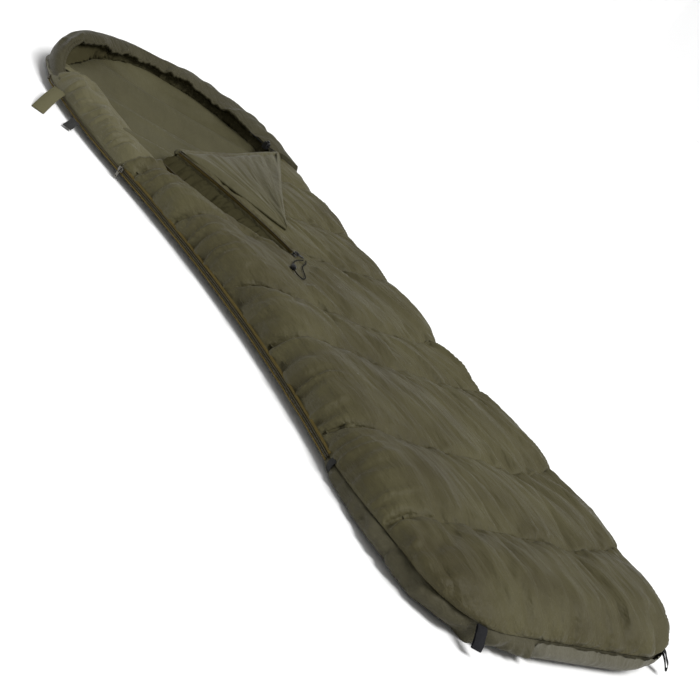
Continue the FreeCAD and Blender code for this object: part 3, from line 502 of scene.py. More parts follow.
def outline(count):
    """The closed plan, clockwise from the zip side's foot corner: points, outward normals and run."""
    left, right = (np.stack([edge(ys), ys], 1) for edge, ys in (
        (left_edge, side_rows(ZIP_FOOT, ZIP_CROWN)), (right_edge, side_rows(FOLD_FOOT, FOLD_CROWN))))
    right = right[::-1]
    loop = np.concatenate([left, right, left[:1]])
    gaps = np.linalg.norm(np.diff(loop, axis=0), axis=1)
    loop = loop[np.concatenate([[True], gaps > 1e-6])]
    run = run_along(loop)
    at = np.linspace(0, run[-1], count, endpoint=False)
    points = points_at(at, run, loop)
    way = np.roll(points, -1, 0) - np.roll(points, 1, 0)
    way /= np.linalg.norm(way, axis=1, keepdims=True)
    return points, turned(way), at


def seam_height(y):
    """Height of the seam between the upper and the lower half."""
    return 0.028 + 0.019 * step(-np.asarray(y, float), 0.62, 0.98)


# ---- quilt lines

# each seam across the upper half: Y at the zip side, in the middle and at the folded side
SEAMS = [(FOOT_Y, FOOT_Y, FOOT_Y), (-0.868, -0.882, -0.800), (-0.606, -0.648, -0.550),
         (-0.325, -0.352, -0.284), (-0.098, -0.192, -0.080), (0.122, 0.082, 0.152), (0.292, 0.300, 0.372),
         (0.500, 0.530, 0.560), (0.735, 0.735, 0.735)]


def seam_y(k, x):
    left, middle, right = SEAMS[k]
    hook = fade(x + 0.37, 0.07)
    lift = np.clip((x - 0.05) / 0.33, 0, 1) ** 2
    return middle + (left - middle) * hook + (right - middle) * lift


SLIT = np.array([-0.065, 0.040])
CORNER = np.array([-0.230, 0.395])
FOLD_END = np.array([0.320, 0.725])
PANEL_TOP = np.array([-0.300, 0.335])


def bow(start, end, rise):
    """Points of the arc from start to end that bulges to the right of the way."""
    start, end = np.array(start, float), np.array(end, float)
    along = end - start
    half = np.linalg.norm(along) / 2
    t = np.linspace(-1, 1, 40)
    right = np.array([along[1], -along[0]]) / (2 * half)
    return (start + end) / 2 + np.outer(t, along / 2) + np.outer(rise * (1 - t * t), right)


SLIT_RIGHT = bow((-0.056, 0.046), CORNER, 0.020)
SLIT_LEFT = bow(PANEL_TOP, (-0.074, 0.036), 0.022)
TOP_EDGE = np.concatenate([[[-0.6, 0.335]], SLIT_LEFT, SLIT_RIGHT, [FOLD_END, [0.6, 0.725]]])
OPEN_ZONE = np.concatenate([TOP_EDGE, [[0.6, 2.0], [-0.6, 2.0]]])


def inside(points, polygon):
    """True where a point lies in the polygon."""
    x, y = points[..., 0], points[..., 1]
    result = np.zeros(x.shape, bool)
    for (ax, ay), (bx, by) in zip(polygon, np.roll(polygon, -1, 0)):
        if ay != by:
            result ^= ((y < ay) != (y < by)) & (x < (bx - ax) * (y - ay) / (by - ay) + ax)
    return result


def nearest(points, line):
    """Nearest points on a polyline, and the distances to it."""
    best = np.full(len(points), 1e9)
    found = np.zeros_like(points)
    for a, b in zip(line, line[1:]):
        way = b - a
        t = np.clip(((points - a) @ way) / max(way @ way, 1e-12), 0, 1)
        spot = a + t[:, None] * way
        far = np.linalg.norm(points - spot, axis=1)
        closer = far < best
        best[closer] = far[closer]
        found[closer] = spot[closer]
    return found, best


# ---- upper half

SIDE_ROUND, FOOT_ROUND, BODY_TOP = 0.085, 0.10, 0.096
EDGE_ROLL = 0.020
SEAM_OUT = 0.004    # how far the upper half's edge stands outside the plan
CHEST_TOP = 0.0995

# the open loop of cord by the chest slider's pull, lying on the quilt
CORD_POINTS = [(-0.053, 0.014, 0.1064), (-0.062, -0.003, 0.1064), (-0.080, -0.016, 0.1064),
               (-0.095, -0.033, 0.1064), (-0.105, -0.053, 0.1064), (-0.113, -0.074, 0.1064),
               (-0.124, -0.091, 0.1064), (-0.138, -0.098, 0.1064), (-0.147, -0.088, 0.1074),
               (-0.144, -0.066, 0.1074), (-0.131, -0.041, 0.1074), (-0.109, -0.015, 0.1074),
               (-0.086, 0.001, 0.1074), (-0.064, 0.010, 0.1064)]


def flow(x, y):
    """Coordinates across and along the long wrinkles: slanted on the chest, lengthwise at the foot."""
    deep = np.clip(-0.3 - y, 0, 0.6)
    shift = np.where(y > -0.3, 0.55 * y, -0.165 - 0.55 * (deep - deep ** 2 / 1.2))
    return x + shift, y


def seam_gap(x, y):
    """Distance in plan from the nearest quilt line."""
    gaps = [np.abs(y - seam_y(k, x)) for k in range(1, len(SEAMS) - 1)]
    return np.min(gaps, axis=0)


def upper_right(y):
    """The upper half's edge on the folded side, drawn in at the foot corner."""
    y = np.asarray(y, float)
    return right_edge(y) + SEAM_OUT - 0.016 * step(-y, 0.78, 0.93) * (1 - step(-y, 1.01, 1.06))


def upper_surface(x, y, t):
    """The quilted surface over a plan point: t is the place in the panel, 0 and 1 at its quilt lines."""
    left, right = left_edge(y) - SEAM_OUT, upper_right(y)
    low = seam_height(y)
    from_left = np.clip((x - left) / SIDE_ROUND, 0, 1)
    from_right = np.clip((right - x) / SIDE_ROUND, 0, 1)
    from_foot = np.clip((y - FOOT_Y) / FOOT_ROUND, 0, 1)
    rise = dome(from_left) * dome(from_right) * dome(from_foot)
    height = low + (BODY_TOP - low) * rise
    facing = np.stack([-(1 - from_left) + (1 - from_right), -(1 - from_foot), np.maximum(rise, 0.05)], -1)
    facing /= np.linalg.norm(facing, axis=-1, keepdims=True)
    puff = np.sin(PI * np.clip(t, 0, 1)) ** 0.7
    depth = 0.0070 + 0.0085 * fade(x - left, 0.10) + 0.0018 * (1 - from_right)
    free = step(rise, 0.0, 0.6)
    lift = depth * (puff - 0.70) * free
    across, along = flow(x, y)
    sway = 0.035 * noise(x * 4, y * 4, 11)
    lift = lift + free * 0.0046 * folds((across + sway) * 13, along * 3.2, 21)
    lift = lift + free * 0.0032 * noise(x * 8, y * 8, 23)
    return np.stack([x, y, height], -1) + facing * lift[..., None]


def panel_rows(span, spacing):
    """Places across a panel, closer together beside its quilt lines."""
    near = np.array([0.0, 0.003, 0.007, 0.013, 0.021]) / span
    count = max(int(round((span - 0.042) / spacing)), 3)
    return np.concatenate([near[:-1], np.linspace(near[-1], 1 - near[-1], count), 1 - near[:0:-1][1:]])


def upper_grid(spacing=0.0080):
    """Grid whose rows follow the quilt lines. Gives plan X, Y and the place in the panel."""
    rows = []
    for k in range(len(SEAMS) - 1):
        span = SEAMS[k + 1][1] - SEAMS[k][1]
        if k == 0:
            first = FOOT_ROUND * (1 - np.cos(np.linspace(0, 1, 17)[:-1] * PI / 2)) / span
            rest = np.linspace(FOOT_ROUND / span, 1 - 0.013 / span, int((span - FOOT_ROUND) / spacing))
            places = np.concatenate([first, rest, 1 - np.array([0.007, 0.003]) / span])
        else:
            places = panel_rows(span, spacing)
        rows += [(k, place) for place in places]
    side = 15
    turn = np.linspace(0, PI / 2, side)
    middle = int(0.60 / spacing)
    inner = np.linspace(0, 1, middle + 2)[1:-1]
    curve = 1 - np.cos(turn)
    x = np.zeros((len(rows), 2 * side + middle))
    y = np.zeros_like(x)
    for i, (k, place) in enumerate(rows):
        base = np.full(x.shape[1], (1 - place) * SEAMS[k][1] + place * SEAMS[k + 1][1])
        for _ in range(4):
            left, right = left_edge(base) - SEAM_OUT, upper_right(base)
            x[i] = np.concatenate([
                left[:side] + SIDE_ROUND * curve,
                (left + SIDE_ROUND)[side:-side] * (1 - inner) + (right - SIDE_ROUND)[side:-side] * inner,
                right[-side:] - SIDE_ROUND * curve[::-1]])
            base = (1 - place) * seam_y(k, x[i]) + place * seam_y(k + 1, x[i])
        y[i] = base
    return x, y, np.array([p for _, p in rows])[:, None] + 0 * x


def cut_grid(x, y):
    """Leave out the cells over the slit and the mouth, and draw the rim's points onto the cut."""
    plan = np.stack([x, y], -1)
    centres = (plan[:-1, :-1] + plan[1:, :-1] + plan[:-1, 1:] + plan[1:, 1:]) / 4
    keep = ~inside(centres, OPEN_ZONE)
    touch_kept = np.zeros(x.shape, int)
    touch_all = np.zeros(x.shape, int)
    for di in (0, 1):
        for dj in (0, 1):
            touch_kept[di:di + keep.shape[0], dj:dj + keep.shape[1]] += keep
            touch_all[di:di + keep.shape[0], dj:dj + keep.shape[1]] += 1
    rim = (touch_kept > 0) & (touch_kept < touch_all)
    found, _ = nearest(plan[rim], TOP_EDGE)
    plan[rim] = found
    return plan[..., 0], plan[..., 1], keep, rim


def left_drop(plan):
    """How far the slit's left edge hangs below the right one."""
    return 0.014 * step(np.hypot(plan[:, 0] - SLIT[0], plan[:, 1] - SLIT[1]), 0.03, 0.13)


def roll_edges(points):
    """Bend the cloth down along the slit and the neck, and keep it below the zip and the flap there."""
    _, far = nearest(points[:, :2], TOP_EDGE)
    dip = EDGE_ROLL - np.sqrt(np.maximum(EDGE_ROLL ** 2 - (EDGE_ROLL - np.minimum(far, EDGE_ROLL)) ** 2, 0))
    chest = step(points[:, 1], -0.02, 0.08)
    ceiling = np.minimum(points[:, 2], CHEST_TOP)
    zip_edge = left_edge(points[:, 1])
    flatten = chest * fade(far - 0.06, 0.10) * step(points[:, 0], zip_edge + 0.03, zip_edge + 0.07)
    points[:, 2] = points[:, 2] * (1 - flatten) + ceiling * flatten - 0.9 * dip * (points[:, 2] > 0.04)
    _, from_left = nearest(points[:, :2], SLIT_LEFT)
    west = step(points[:, 1] - 1.57 * (-0.07 - points[:, 0]), -0.06, -0.02)
    points[:, 2] -= left_drop(points) * bell(from_left, 0.055) * (1 - west) * (points[:, 2] > 0.05)
    return points


# short creases that start between the quilt lines: from, to and depth
CREASES = [(-0.42, -0.755, -0.30, -0.742, 0.0055), (-0.46, -0.94, -0.38, -0.962, 0.005),
           (0.24, 0.39, 0.37, 0.48, 0.003), (0.36, 0.09, 0.30, 0.16, 0.0035),
           (-0.36, 0.215, -0.30, 0.222, 0.004), (-0.34, 0.02, -0.25, -0.01, 0.0035),
           (-0.33, -0.215, -0.24, -0.238, 0.004), (-0.36, -0.46, -0.28, -0.47, 0.004)]


def fine_wrinkles(item):
    """Creases, puckers and the quilt lines' pull, laid on the finished surface."""
    points, out = coords(item), coords(item, "normal")
    x, y = points[:, 0], points[:, 1]
    left, right = left_edge(y), right_edge(y)
    from_zip, from_fold = np.maximum(x - left, 0), np.maximum(right - x, 0)
    gap = seam_gap(x, y)
    across, along = flow(x, y)
    sway = 0.02 * noise(x * 9, y * 9, 12)
    ridges = folds((across + sway) * 26, along * 3.6, 24)
    silk = folds((across + 0.5 * sway) * 52, along * 6.0, 25)
    calm = 1 - np.exp(-from_zip / 0.02)
    lift = calm * (0.0040 * ridges + 0.0016 * silk)
    # gathers at the zip, the foot seam and the folded side
    run = y + 0.008 * noise(x * 26, y * 16, 31)
    lift += 0.0070 * np.exp(-from_zip / 0.040) * folds(run * 42, x * 9, 32)
    toe = fade(y - FOOT_Y, 0.11)
    lift += 0.0050 * toe * folds(x * 40 + 0.8 * noise(x * 12, y * 9, 34), y * 5, 33)
    lift += 0.0026 * np.exp(-from_fold / 0.05) * folds(run * 34, x * 9, 36)
    # puckers beside the quilt lines, and the lines themselves
    lift += 0.0044 * np.exp(-gap / 0.022) * folds((across + 0.5 * along) * 44, gap * 20, 35)
    lift -= 0.0022 * bell(gap, 0.0045) * (0.55 + 0.45 * np.exp(-from_zip / 0.12))
    lift -= 0.0080 * bell(gap, 0.011) * np.exp(-from_zip / 0.055)
    lift -= 0.0014 * bell(gap, 0.009) * np.exp(-from_fold / 0.045)
    for ax, ay, bx, by, deep in CREASES:
        way = np.array([bx - ax, by - ay])
        t = np.clip(((x - ax) * way[0] + (y - ay) * way[1]) / (way @ way), 0, 1)
        far = np.hypot(x - ax - t * way[0], y - ay - t * way[1])
        lift -= deep * bell(far, 0.010) * (1 - 0.75 * t)
    _, rim_gap = nearest(points[:, :2], TOP_EDGE)
    lift += 0.0030 * np.exp(-rim_gap / 0.026) * folds((x - y) * 52, (x + y) * 10, 37)
    lift *= step(points[:, 2] - seam_height(y), -0.002, 0.012) * step(rim_gap, 0.0, 0.008)
    points = points + out * lift[:, None]
    _, cord_gap = nearest(points[:, :2], np.array(CORD_POINTS)[:, :2])
    under_cord = 1 - step(cord_gap, 0.008, 0.030)
    points[:, 2] -= np.maximum(points[:, 2] - 0.1030, 0) * under_cord
    set_coords(item, points)


def build_upper():
    x, y, place = upper_grid()
    x, y, keep, rim = cut_grid(x, y)
    points = upper_surface(x, y, place)
    flat = sheet_piece("quilt_top", points, "bag", "top_shell", "top_insulation", keep=keep)
    used = sorted({v for face in grid_faces(*x.shape, keep) for v in face})
    on_seam = ((place < 1e-6) | (place > 1 - 1e-6)).ravel()[used]
    edge = np.zeros(x.shape, bool)
    edge[0, :] = edge[:, 0] = edge[:, -1] = True
    pins = np.where((edge | rim).ravel()[used], 1.0, np.where(on_seam, 0.9, 0.0))
    swell(flat, pins, pressure=2.0, frames=14, slack=0.03, cap=0.009)
    subdivide(flat)
    set_coords(flat, roll_edges(coords(flat)))
    fine_wrinkles(flat)
    paint(flat, OUTER)
    return flat


quilt_top = build_upper()
quilt_tree = BVHTree.FromPolygons([v.co.copy() for v in quilt_top.data.vertices],
                                  [tuple(p.vertices) for p in quilt_top.data.polygons])


def on_quilt(x, y):
    """Height and upward normal of the quilted top at a plan point."""
    hit, normal, _, _ = quilt_tree.ray_cast(Vector((x, y, 0.4)), Vector((0, 0, -1)))
    if hit is None:
        return 0.09, Vector((0, 0, 1))
    return hit.z, (normal if normal.z > 0 else -normal)


def build_inner_top():
    """The upper half's inner cloth: it hangs under the quilt and meets it along the slit and the neck."""
    x, y, place = upper_grid(0.016)
    x, y, keep, _ = cut_grid(x, y)
    points = upper_surface(x, y, place)
    flat = points.reshape(-1, 3)
    _, far = nearest(flat[:, :2], TOP_EDGE)
    thick = 0.030 * dome(far / 0.030)
    top = np.minimum(flat[:, 2], CHEST_TOP) - 0.020
    low = np.maximum(top - thick, 0.044)
    flat[:, 2] = low + 0.002 * folds(flat[:, 0] * 18, flat[:, 1] * 6, 71) * np.minimum(far / 0.03, 1)
    inset = np.clip((flat[:, 0] - left_edge(flat[:, 1])) / 0.03, 0, 1) * np.clip(
        (right_edge(flat[:, 1]) - flat[:, 0]) / 0.03, 0, 1) * np.clip((flat[:, 1] - FOOT_Y) / 0.03, 0, 1)
    flat[:, :2] -= flat[:, :2] * 0.03 * (1 - inset)[:, None] * (far > 0.02)[:, None]
    item = sheet_piece("top_lining_sheet", points, "bag", "top_lining", keep=keep, flip=True)
    paint(item, LINING)


build_inner_top()


def build_rim_wall():
    """Cloth that joins the quilt's rolled rim to the inner cloth, along the slit and the neck."""
    line, run = resample(np.concatenate([SLIT_LEFT, SLIT_RIGHT, [FOLD_END, [0.388, 0.725]]]), 0.006)
    line = np.concatenate([[[-0.385, 0.335], [-0.36, 0.335], [-0.33, 0.335]], line])
    run = np.arange(len(line)) * 0.006
    way = tangents(line)
    out = turned(way)
    rows = []
    for share in np.linspace(0, 1, 8):
        bulge = math.sin(PI * share) * (0.006 + 0.0015 * folds(run * 60, share * 2, 72))
        level = []
        for (px, py) in line:
            low = seam_height(py)
            side = min(px - float(left_edge(py)), float(right_edge(py)) - px)
            arch = float(dome(side / SIDE_ROUND))
            top = min(low + (BODY_TOP - low) * arch, CHEST_TOP) - 0.9 * EDGE_ROLL
            level.append(max(top, 0.03) - share * 0.020 * arch)
        spot = line + out * bulge[:, None]
        rows.append(raised(spot, level))
    item = sheet_piece("rim_wall", np.array(rows), "bag")
    paint(item, OUTER)


build_rim_wall()


def build_neck_roll():
    """The rolled end of the quilt at the neck, from the flap's fold to the folded side."""
    x = np.linspace(0.296, 0.386, 40)
    arch = dome((0.389 - x) / SIDE_ROUND)
    path = np.column_stack([x, 0.724 + 0.004 * noise(x * 30, 0, 73), 0.030 + (BODY_TOP - 0.044) * arch])
    side = unit(np.cross(tangents(path), (0, 1.0, 0)))
    way = np.tile([0.0, 1.0, 0.0], (len(x), 1))
    fold = 1 + 0.16 * folds(x * 90, 0, 74)
    profile = round_profile(1.0, 14)[None] * 0.0145 * fold[:, None, None]
    item = sweep("neck_roll", path, side, way, profile, "bag")
    subdivide(item)
    paint(item, OUTER)


build_neck_roll()

# ---- lower half


def zip_side(ring):
    """1 where the side zip runs on the outline, 0 elsewhere."""
    return step(-ring[:, 0], 0.2, 0.3) * step(ring[:, 1], -0.70, -0.60) * (1 - step(ring[:, 1], 0.78, 0.95))


def fold_corner_share(ring):
    """1 at the foot corner of the folded side, where the lower half is tucked in, 0 elsewhere."""
    return step(ring[:, 0], 0.10, 0.22) * step(-ring[:, 1], 0.80, 0.96)


def tucked_in(ring, share):
    """How far the folded side's foot corner is drawn in at a share of the height."""
    above_loop = step(ring[:, 0], 0.29, 0.34)
    return fold_corner_share(ring) * (0.012 * above_loop + 0.022 * (1 - share))


def build_lower():
    ring, out, run = outline(900)
    low = seam_height(ring[:, 1]) - 0.001
    foot = step(-ring[:, 1], 0.60, 0.95)
    tucked = zip_side(ring)
    corner = foot * step(-ring[:, 0], 0.15, 0.25) * step(-ring[:, 1], 0.99, 1.04)
    behind_panel = step(ring[:, 0], -0.20, -0.17) * step(-ring[:, 1], 0.92, 0.95)
    by_loop = bell(np.hypot(ring[:, 0] + 0.3236, ring[:, 1] + 1.0931), 0.030)
    profile = [(0.0, 1.0), (0.005, 0.92), (0.009, 0.8), (0.012, 0.62), (0.012, 0.45), (0.008, 0.28),
               (0.001, 0.14), (-0.010, 0.05), (-0.022, 0.012), (-0.045, 0.0), (-0.10, 0.0), (-0.18, 0.0)]
    rows = []
    for push, share in profile:
        bulge = np.full(len(run), push) if push < 0 else push * (0.5 + 0.8 * foot)
        under = -0.030 * (1 - min(share, 1.0)) ** 0.8
        bulge = bulge * (1 - tucked) + tucked * (under + min(push, 0) * 0.6)
        bulge = bulge - corner * 0.024 * (1 - share) - tucked_in(ring, share)
        loose = math.sin(PI * min(share, 1.0)) if share > 0 else 0.0
        crumple = loose * (0.003 + 0.010 * foot) * folds(run * 20, share * 1.6, 41)
        fine = loose * (0.0030 + 0.0050 * foot) * folds(run * 64, share * 1.2, 43)
        sway = loose * 0.004 * noise(run * 9, share * 3.0, 42)
        bulge = bulge * (1 - by_loop) - 0.004 * by_loop
        bulge = bulge - 0.9 * behind_panel * np.maximum(bulge, 0)
        calm = (1 - by_loop) * (1 - behind_panel)
        crumple, fine, sway = crumple * calm, fine * calm, sway * calm
        spot = ring + out * (bulge + crumple + fine + sway)[:, None]
        rows.append(raised(spot, low * share))
    item = sheet_piece("lower_half", np.array(rows), "bag", "bottom_shell", "bottom_insulation", wrap=True)
    subdivide(item)
    # painted shade: the lower half gets the darker under tone for its shaded sides
    paint(item, UNDER)


build_lower()


def build_foot_panel():
    """The separate cloth panel across the foot end, gathered into the seams round it."""
    ring, out, run = outline(1800)
    chosen = (ring[:, 1] < -0.93) & (ring[:, 0] > -0.185)
    ring, out, run = ring[chosen], out[chosen], run[chosen]
    order = np.argsort(ring[:, 0] - 0.5 * (ring[:, 1] - FOOT_Y))
    ring, out = ring[order], out[order]
    run = run_along(ring)
    ends = step(run, 0.0, 0.03) * step(run[-1] - run, 0.0, 0.03)
    rows = []
    for share in np.linspace(0, 1, 16):
        height = 0.004 + 0.042 * share
        belly = math.sin(PI * min(max(share, 0.02), 0.98))
        bulge = 0.0070 + 0.009 * belly * ends - 0.012 * (1 - share) ** 3 - tucked_in(ring, share)
        gather = (0.0022 * math.exp(-share / 0.3) + 0.0026 * math.exp(-(1 - share) / 0.35))
        bulge = bulge + gather * folds(run * 62 + 0.7 * noise(run * 18, share * 2, 44), share, 45)
        rows.append(raised(ring + out * bulge[:, None], height))
    item = sheet_piece("foot_end_panel", np.array(rows), "bag", "foot_panel")
    # painted light: the panel gets the lighter tone for the lit foot end
    paint(item, FOOT_LIT_CLOTH)


build_foot_panel()

# ---- hood

HOOD_FROM_Y = 0.705


def hood_lines(count):
    """Rim on the outline, mouth edge, and the share of the way round, from the zip to the folded side."""
    ring, out, run = outline(3000)
    chosen = ring[:, 1] > HOOD_FROM_Y
    ring, out, run = ring[chosen], out[chosen], run[chosen] - run[np.argmax(chosen)]
    u = np.linspace(0, 1, count)
    rim = points_at(u * run[-1], run, ring)
    angle = np.radians(177 - 172 * u)
    lip = MOUTH + MOUTH_R * np.stack([np.cos(angle), np.sin(angle)], 1)
    return rim, lip, u


def hood_rows(profile, kind):
    rim, lip, u = hood_lines(280)
    inward = lip - rim
    width = np.linalg.norm(inward, axis=1, keepdims=True)
    inward = inward / width
    reach = width * (0.34 + 0.66 * step(u, 0.10, 0.36))[:, None]
    rising = 0.24 + 0.76 * step(u, 0.01, 0.30)
    crest = 0.007 * bell(u - 0.70, 0.16)
    share, level = finer(profile, 5 * len(profile)).T
    kernel = np.array([1, 2, 3, 2, 1]) / 9
    share[2:-2] = np.convolve(share, kernel, "valid")
    level[2:-2] = np.convolve(level, kernel, "valid")
    pillow = bell(u - 0.19, 0.09)
    settled = step(u, 0.02, 0.20)
    rows = []
    for index, (s, z) in enumerate(zip(share, level)):
        height = 0.028 + (z - 0.028) * rising + crest * clamp((z - 0.05) / 0.05)
        free = clamp((z - 0.03) / 0.02)
        if kind == "shell":
            crumple = 0.0048 * folds(u * 24 + 0.6 * s, s * 1.6 + z * 14, 51)
            gather = 0.0034 * math.exp(-abs(s - 1.0) / 0.25) * folds(u * 92, s * 2.0, 52)
            soft = 0.005 * noise(u * 11, s * 1.8 + z * 12, 53)
            over = 0.012 * pillow * math.exp(-((s - 0.75) / 0.4) ** 2)
        else:
            crumple = 0.0030 * folds(u * 40, index * 0.05, 54)
            sway = 0.6 * noise(u * 20, index * 0.2, 56)
            gather = 0.0042 * folds(u * 88 + sway, index * 0.03, 55)
            soft = 0.004 * noise(u * 14, index * 0.08, 53)
            gather = gather * min(1.0, index / 6)
            over = 0.012 * pillow * math.exp(-index / 4.0)
        plan = rim + inward * (reach * s)
        crumple, gather, soft = crumple * settled, gather * settled, soft * settled
        move = (soft * free * (1 - s))[:, None] if kind == "shell" else ((gather + crumple) * free)[:, None]
        rise = (crumple + gather + soft) * free if kind == "shell" else 0.4 * (gather + soft) * free
        if kind != "shell":
            bulge = 0.035 * pillow * math.exp(-((z - 0.062) / 0.014) ** 2)
            plan = plan + inward * bulge[:, None]
        rows.append(raised(plan - inward * move, height + rise + over))
    return np.array(rows)


HOOD_OUT = [(0.00, 0.028), (-0.03, 0.044), (-0.04, 0.062), (0.0, 0.081), (0.08, 0.096), (0.20, 0.106),
            (0.34, 0.111), (0.48, 0.1125), (0.62, 0.112), (0.74, 0.110), (0.84, 0.1075), (0.93, 0.105),
            (1.0, 0.101)]
HOOD_IN = [(1.0, 0.101), (0.98, 0.097), (0.94, 0.093), (0.93, 0.088), (0.95, 0.082), (0.96, 0.075),
           (0.93, 0.067), (0.88, 0.058), (0.81, 0.050), (0.75, 0.042), (0.71, 0.034)]


def build_hood():
    outer, inner = hood_rows(HOOD_OUT, "shell"), hood_rows(HOOD_IN, "lining")
    inner[0] = outer[-1]
    shell = sheet_piece("hood_roll", outer, "bag", "hood_shell", "hood_insulation")
    subdivide(shell)
    paint(shell, HOOD_CLOTH)
    wall = sheet_piece("hood_inner_wall", inner, "bag", "hood_lining")
    subdivide(wall)
    # painted shade: the inner wall under the lip gets the darker lining tone
    paint(wall, HOOD_LINING_SHADED)
    for name, column in (("hood_end_zip_side", 0), ("hood_end_folded_side", -1)):
        loop = np.concatenate([outer[:, column], inner[1:, column]])
        middle = loop.mean(0)
        faces = [(k, (k + 1) % len(loop), len(loop)) for k in range(len(loop))]
        cap = mesh_piece(name, np.concatenate([loop, [middle]]), faces, "bag")
        paint(cap, HOOD_CLOTH)
    lip = outer[-1]
    lip = lip[lip[:, 0] < 0.262]
    swell_by = 1 + 0.16 * folds(np.linspace(0, 1, len(lip)) * 120, 0, 57)
    profile = round_profile(1.0, 10)[None] * np.array([0.0052, 0.0042]) * swell_by[:, None, None]
    middle = lip - np.array([0, 0, 0.001])
    channel = sweep("hood_rim_roll", middle, *flat_frame(lip), profile, "bag", "hood_rim_channel")
    paint(channel, HOOD_CLOTH)
    # the draw cord leaves the channel and runs on to the cord lock
    tail = [(0.268, 0.756, 0.1055), (0.277, 0.747, 0.106), (0.288, 0.738, 0.106), (0.303, 0.731, 0.106)]
    route, _ = resample(np.concatenate([middle[6:], tail]), 0.004)
    drawcord = sweep("hood_drawcord", route, *flat_frame(route), round_profile(0.0015, 8), "bag", "hood_cord")
    paint(drawcord, CORD)


build_hood()

# ---- lining


def build_floor():
    """The lining of the lower half, seen through the mouth: large soft folds in a shallow bowl."""
    xs, ys = np.meshgrid(np.linspace(0.0, 1.0, 130), np.linspace(-1.0, 1.085, 330))
    left, right = left_edge(ys) + 0.03, right_edge(ys) - 0.03
    x = left * (1 - xs) + right * xs
    inset = np.minimum(np.minimum(x - left, right - x), 1.085 - ys)
    bowl = 0.026 * np.exp(-inset / 0.050)
    from_lip = np.maximum(MOUTH_R - np.hypot(x - MOUTH[0], ys - MOUTH[1]), 0)
    by_zip = step(0.12 - (x - left), -0.05, 0.05) * step(ys, 0.20, 0.32) * (1 - step(ys, 0.86, 0.98))
    bowl = bowl * (1 - 0.8 * by_zip)
    by_lip = np.exp(-from_lip / 0.060) * step(ys, 0.66, 0.80)
    bowl = np.maximum(bowl, (0.034 - 0.012 * step(-x, 0.05, 0.25)) * by_lip)
    free = 1 - 0.8 * by_lip
    lengthwise = 0.928 * x - 0.371 * ys
    across = 0.371 * x + 0.928 * ys + 0.03 * noise(x * 5, ys * 5, 61)
    broad = 0.0130 * np.cos(2 * PI * (across - 0.66) / 0.20) * step(ys, 0.1, 0.4)
    z = 0.041 + bowl + free * (0.0090 * folds(across * 8.5, lengthwise * 1.5, 62) - broad)
    z += free * 0.0055 * noise(across * 20, lengthwise * 5, 63)
    z += 0.0020 * folds(across * 44, lengthwise * 7, 64)
    # low beside the zip, where the hood begins
    beside = step(ys, 0.72, 0.82) * (1 - step(x - left, 0.02, 0.12)) * (1 - step(ys, 0.97, 1.04))
    z = z + (0.044 - z) * beside
    item = sheet_piece("lining_floor", np.stack([x, ys, z], -1), "bag", "bottom_lining")
    paint(item, LINING)


build_floor()


def build_side_tube():
    """The padded draft tube behind the open end of the side zip, gathered along its seam."""
    ys = np.linspace(0.315, 0.860, 226)
    edge = left_edge(ys)
    profile = [(-0.0040, 0.0250), (-0.0035, 0.032), (0.004, 0.048), (0.020, 0.062), (0.042, 0.067),
               (0.064, 0.066), (0.086, 0.063), (0.108, 0.058), (0.132, 0.051), (0.156, 0.042), (0.180, 0.030)]
    offset, level = finer(profile, 34).T
    full = (0.55 + 0.45 * step(ys, 0.31, 0.37)) * (1 - 0.80 * step(ys, 0.70, 0.86))
    cols = []
    for s, z in zip(offset, level):
        free = clamp((s + 0.004) / 0.014) * (1 - float(step(s, 0.07, 0.16)))
        lump = 0.0050 * noise(ys * 15, s * 30, 81)
        sway = 0.5 * noise(ys * 20, s * 20, 82)
        gather = 0.0075 * fade(s, 0.09) * folds(ys * 46 + sway, s * 10, 83)
        creases = 0.0070 * folds(ys * 20 - s * 9, s * 14, 84)
        height = 0.028 + (z - 0.028) * full + (lump + gather + creases) * free
        cols.append(np.stack([edge + s - np.minimum(0.6 * gather * free, 0.0005), ys, height], 1))
    item = sheet_piece("side_draft_roll", np.array(cols), "bag", "side_draft_tube")
    subdivide(item)
    paint(item, TUBE_CLOTH)


build_side_tube()

# ---- zips


def zip_line(y0, y1, out):
    """The side zip's line at a distance outside the outline, with outward normals."""
    ys = np.arange(y0, y1, 0.001)
    line = np.stack([left_edge(ys), ys], 1)
    way = tangents(line)
    normal = turned(way)
    return line + normal * out, normal, ys


COIL_PITCH, COIL_RADIUS = 0.0030, 0.00155


def coil_piece(name, path, side, up, node):
    beat = 1 + 0.22 * np.cos(2 * PI * run_along(path) / COIL_PITCH)
    profile = round_profile(1.0, 6)[None] * COIL_RADIUS * beat[:, None, None]
    item = sweep(name, path, side, up, profile, "bag", node)
    paint(item, COIL)


def side_zip():
    for name, node, coil_node, low, y1 in (
            ("side_tape_lower", "side_zip_tape_lower", "side_zip_coil_lower", True, ZIP_TOP_Y),
            ("side_tape_upper", "side_zip_tape_upper", "side_zip_coil_upper", False, SLIDER_Y - 0.012)):
        plan, normal, ys = zip_line(ZIP_LOW_Y, y1, 0.0055)
        sway = 0.0007 * noise(ys * 30, 0, 91 + low)
        height = 0.0238 if low else 0.0282
        path = raised(plan + normal * sway[:, None], height)
        side = raised(normal, 0.0)
        up = np.tile([0.0, 0.0, 1.0], (len(ys), 1))
        coil_piece(coil_node + "_ridges", path, side, up, coil_node)
        middle = 0.0185 if low else 0.0335
        tape_path = path[::5].copy()
        tape_path[:, 2] = middle
        lean = unit(up[::5] + side[::5] * (0.25 if low else -0.25))
        tape_side = unit(np.cross(lean, tangents(tape_path)))
        item = sweep(name, tape_path, lean, tape_side, strip_profile(0.0052, 0.0009), "bag", node)
        paint(item, TAPE)


side_zip()


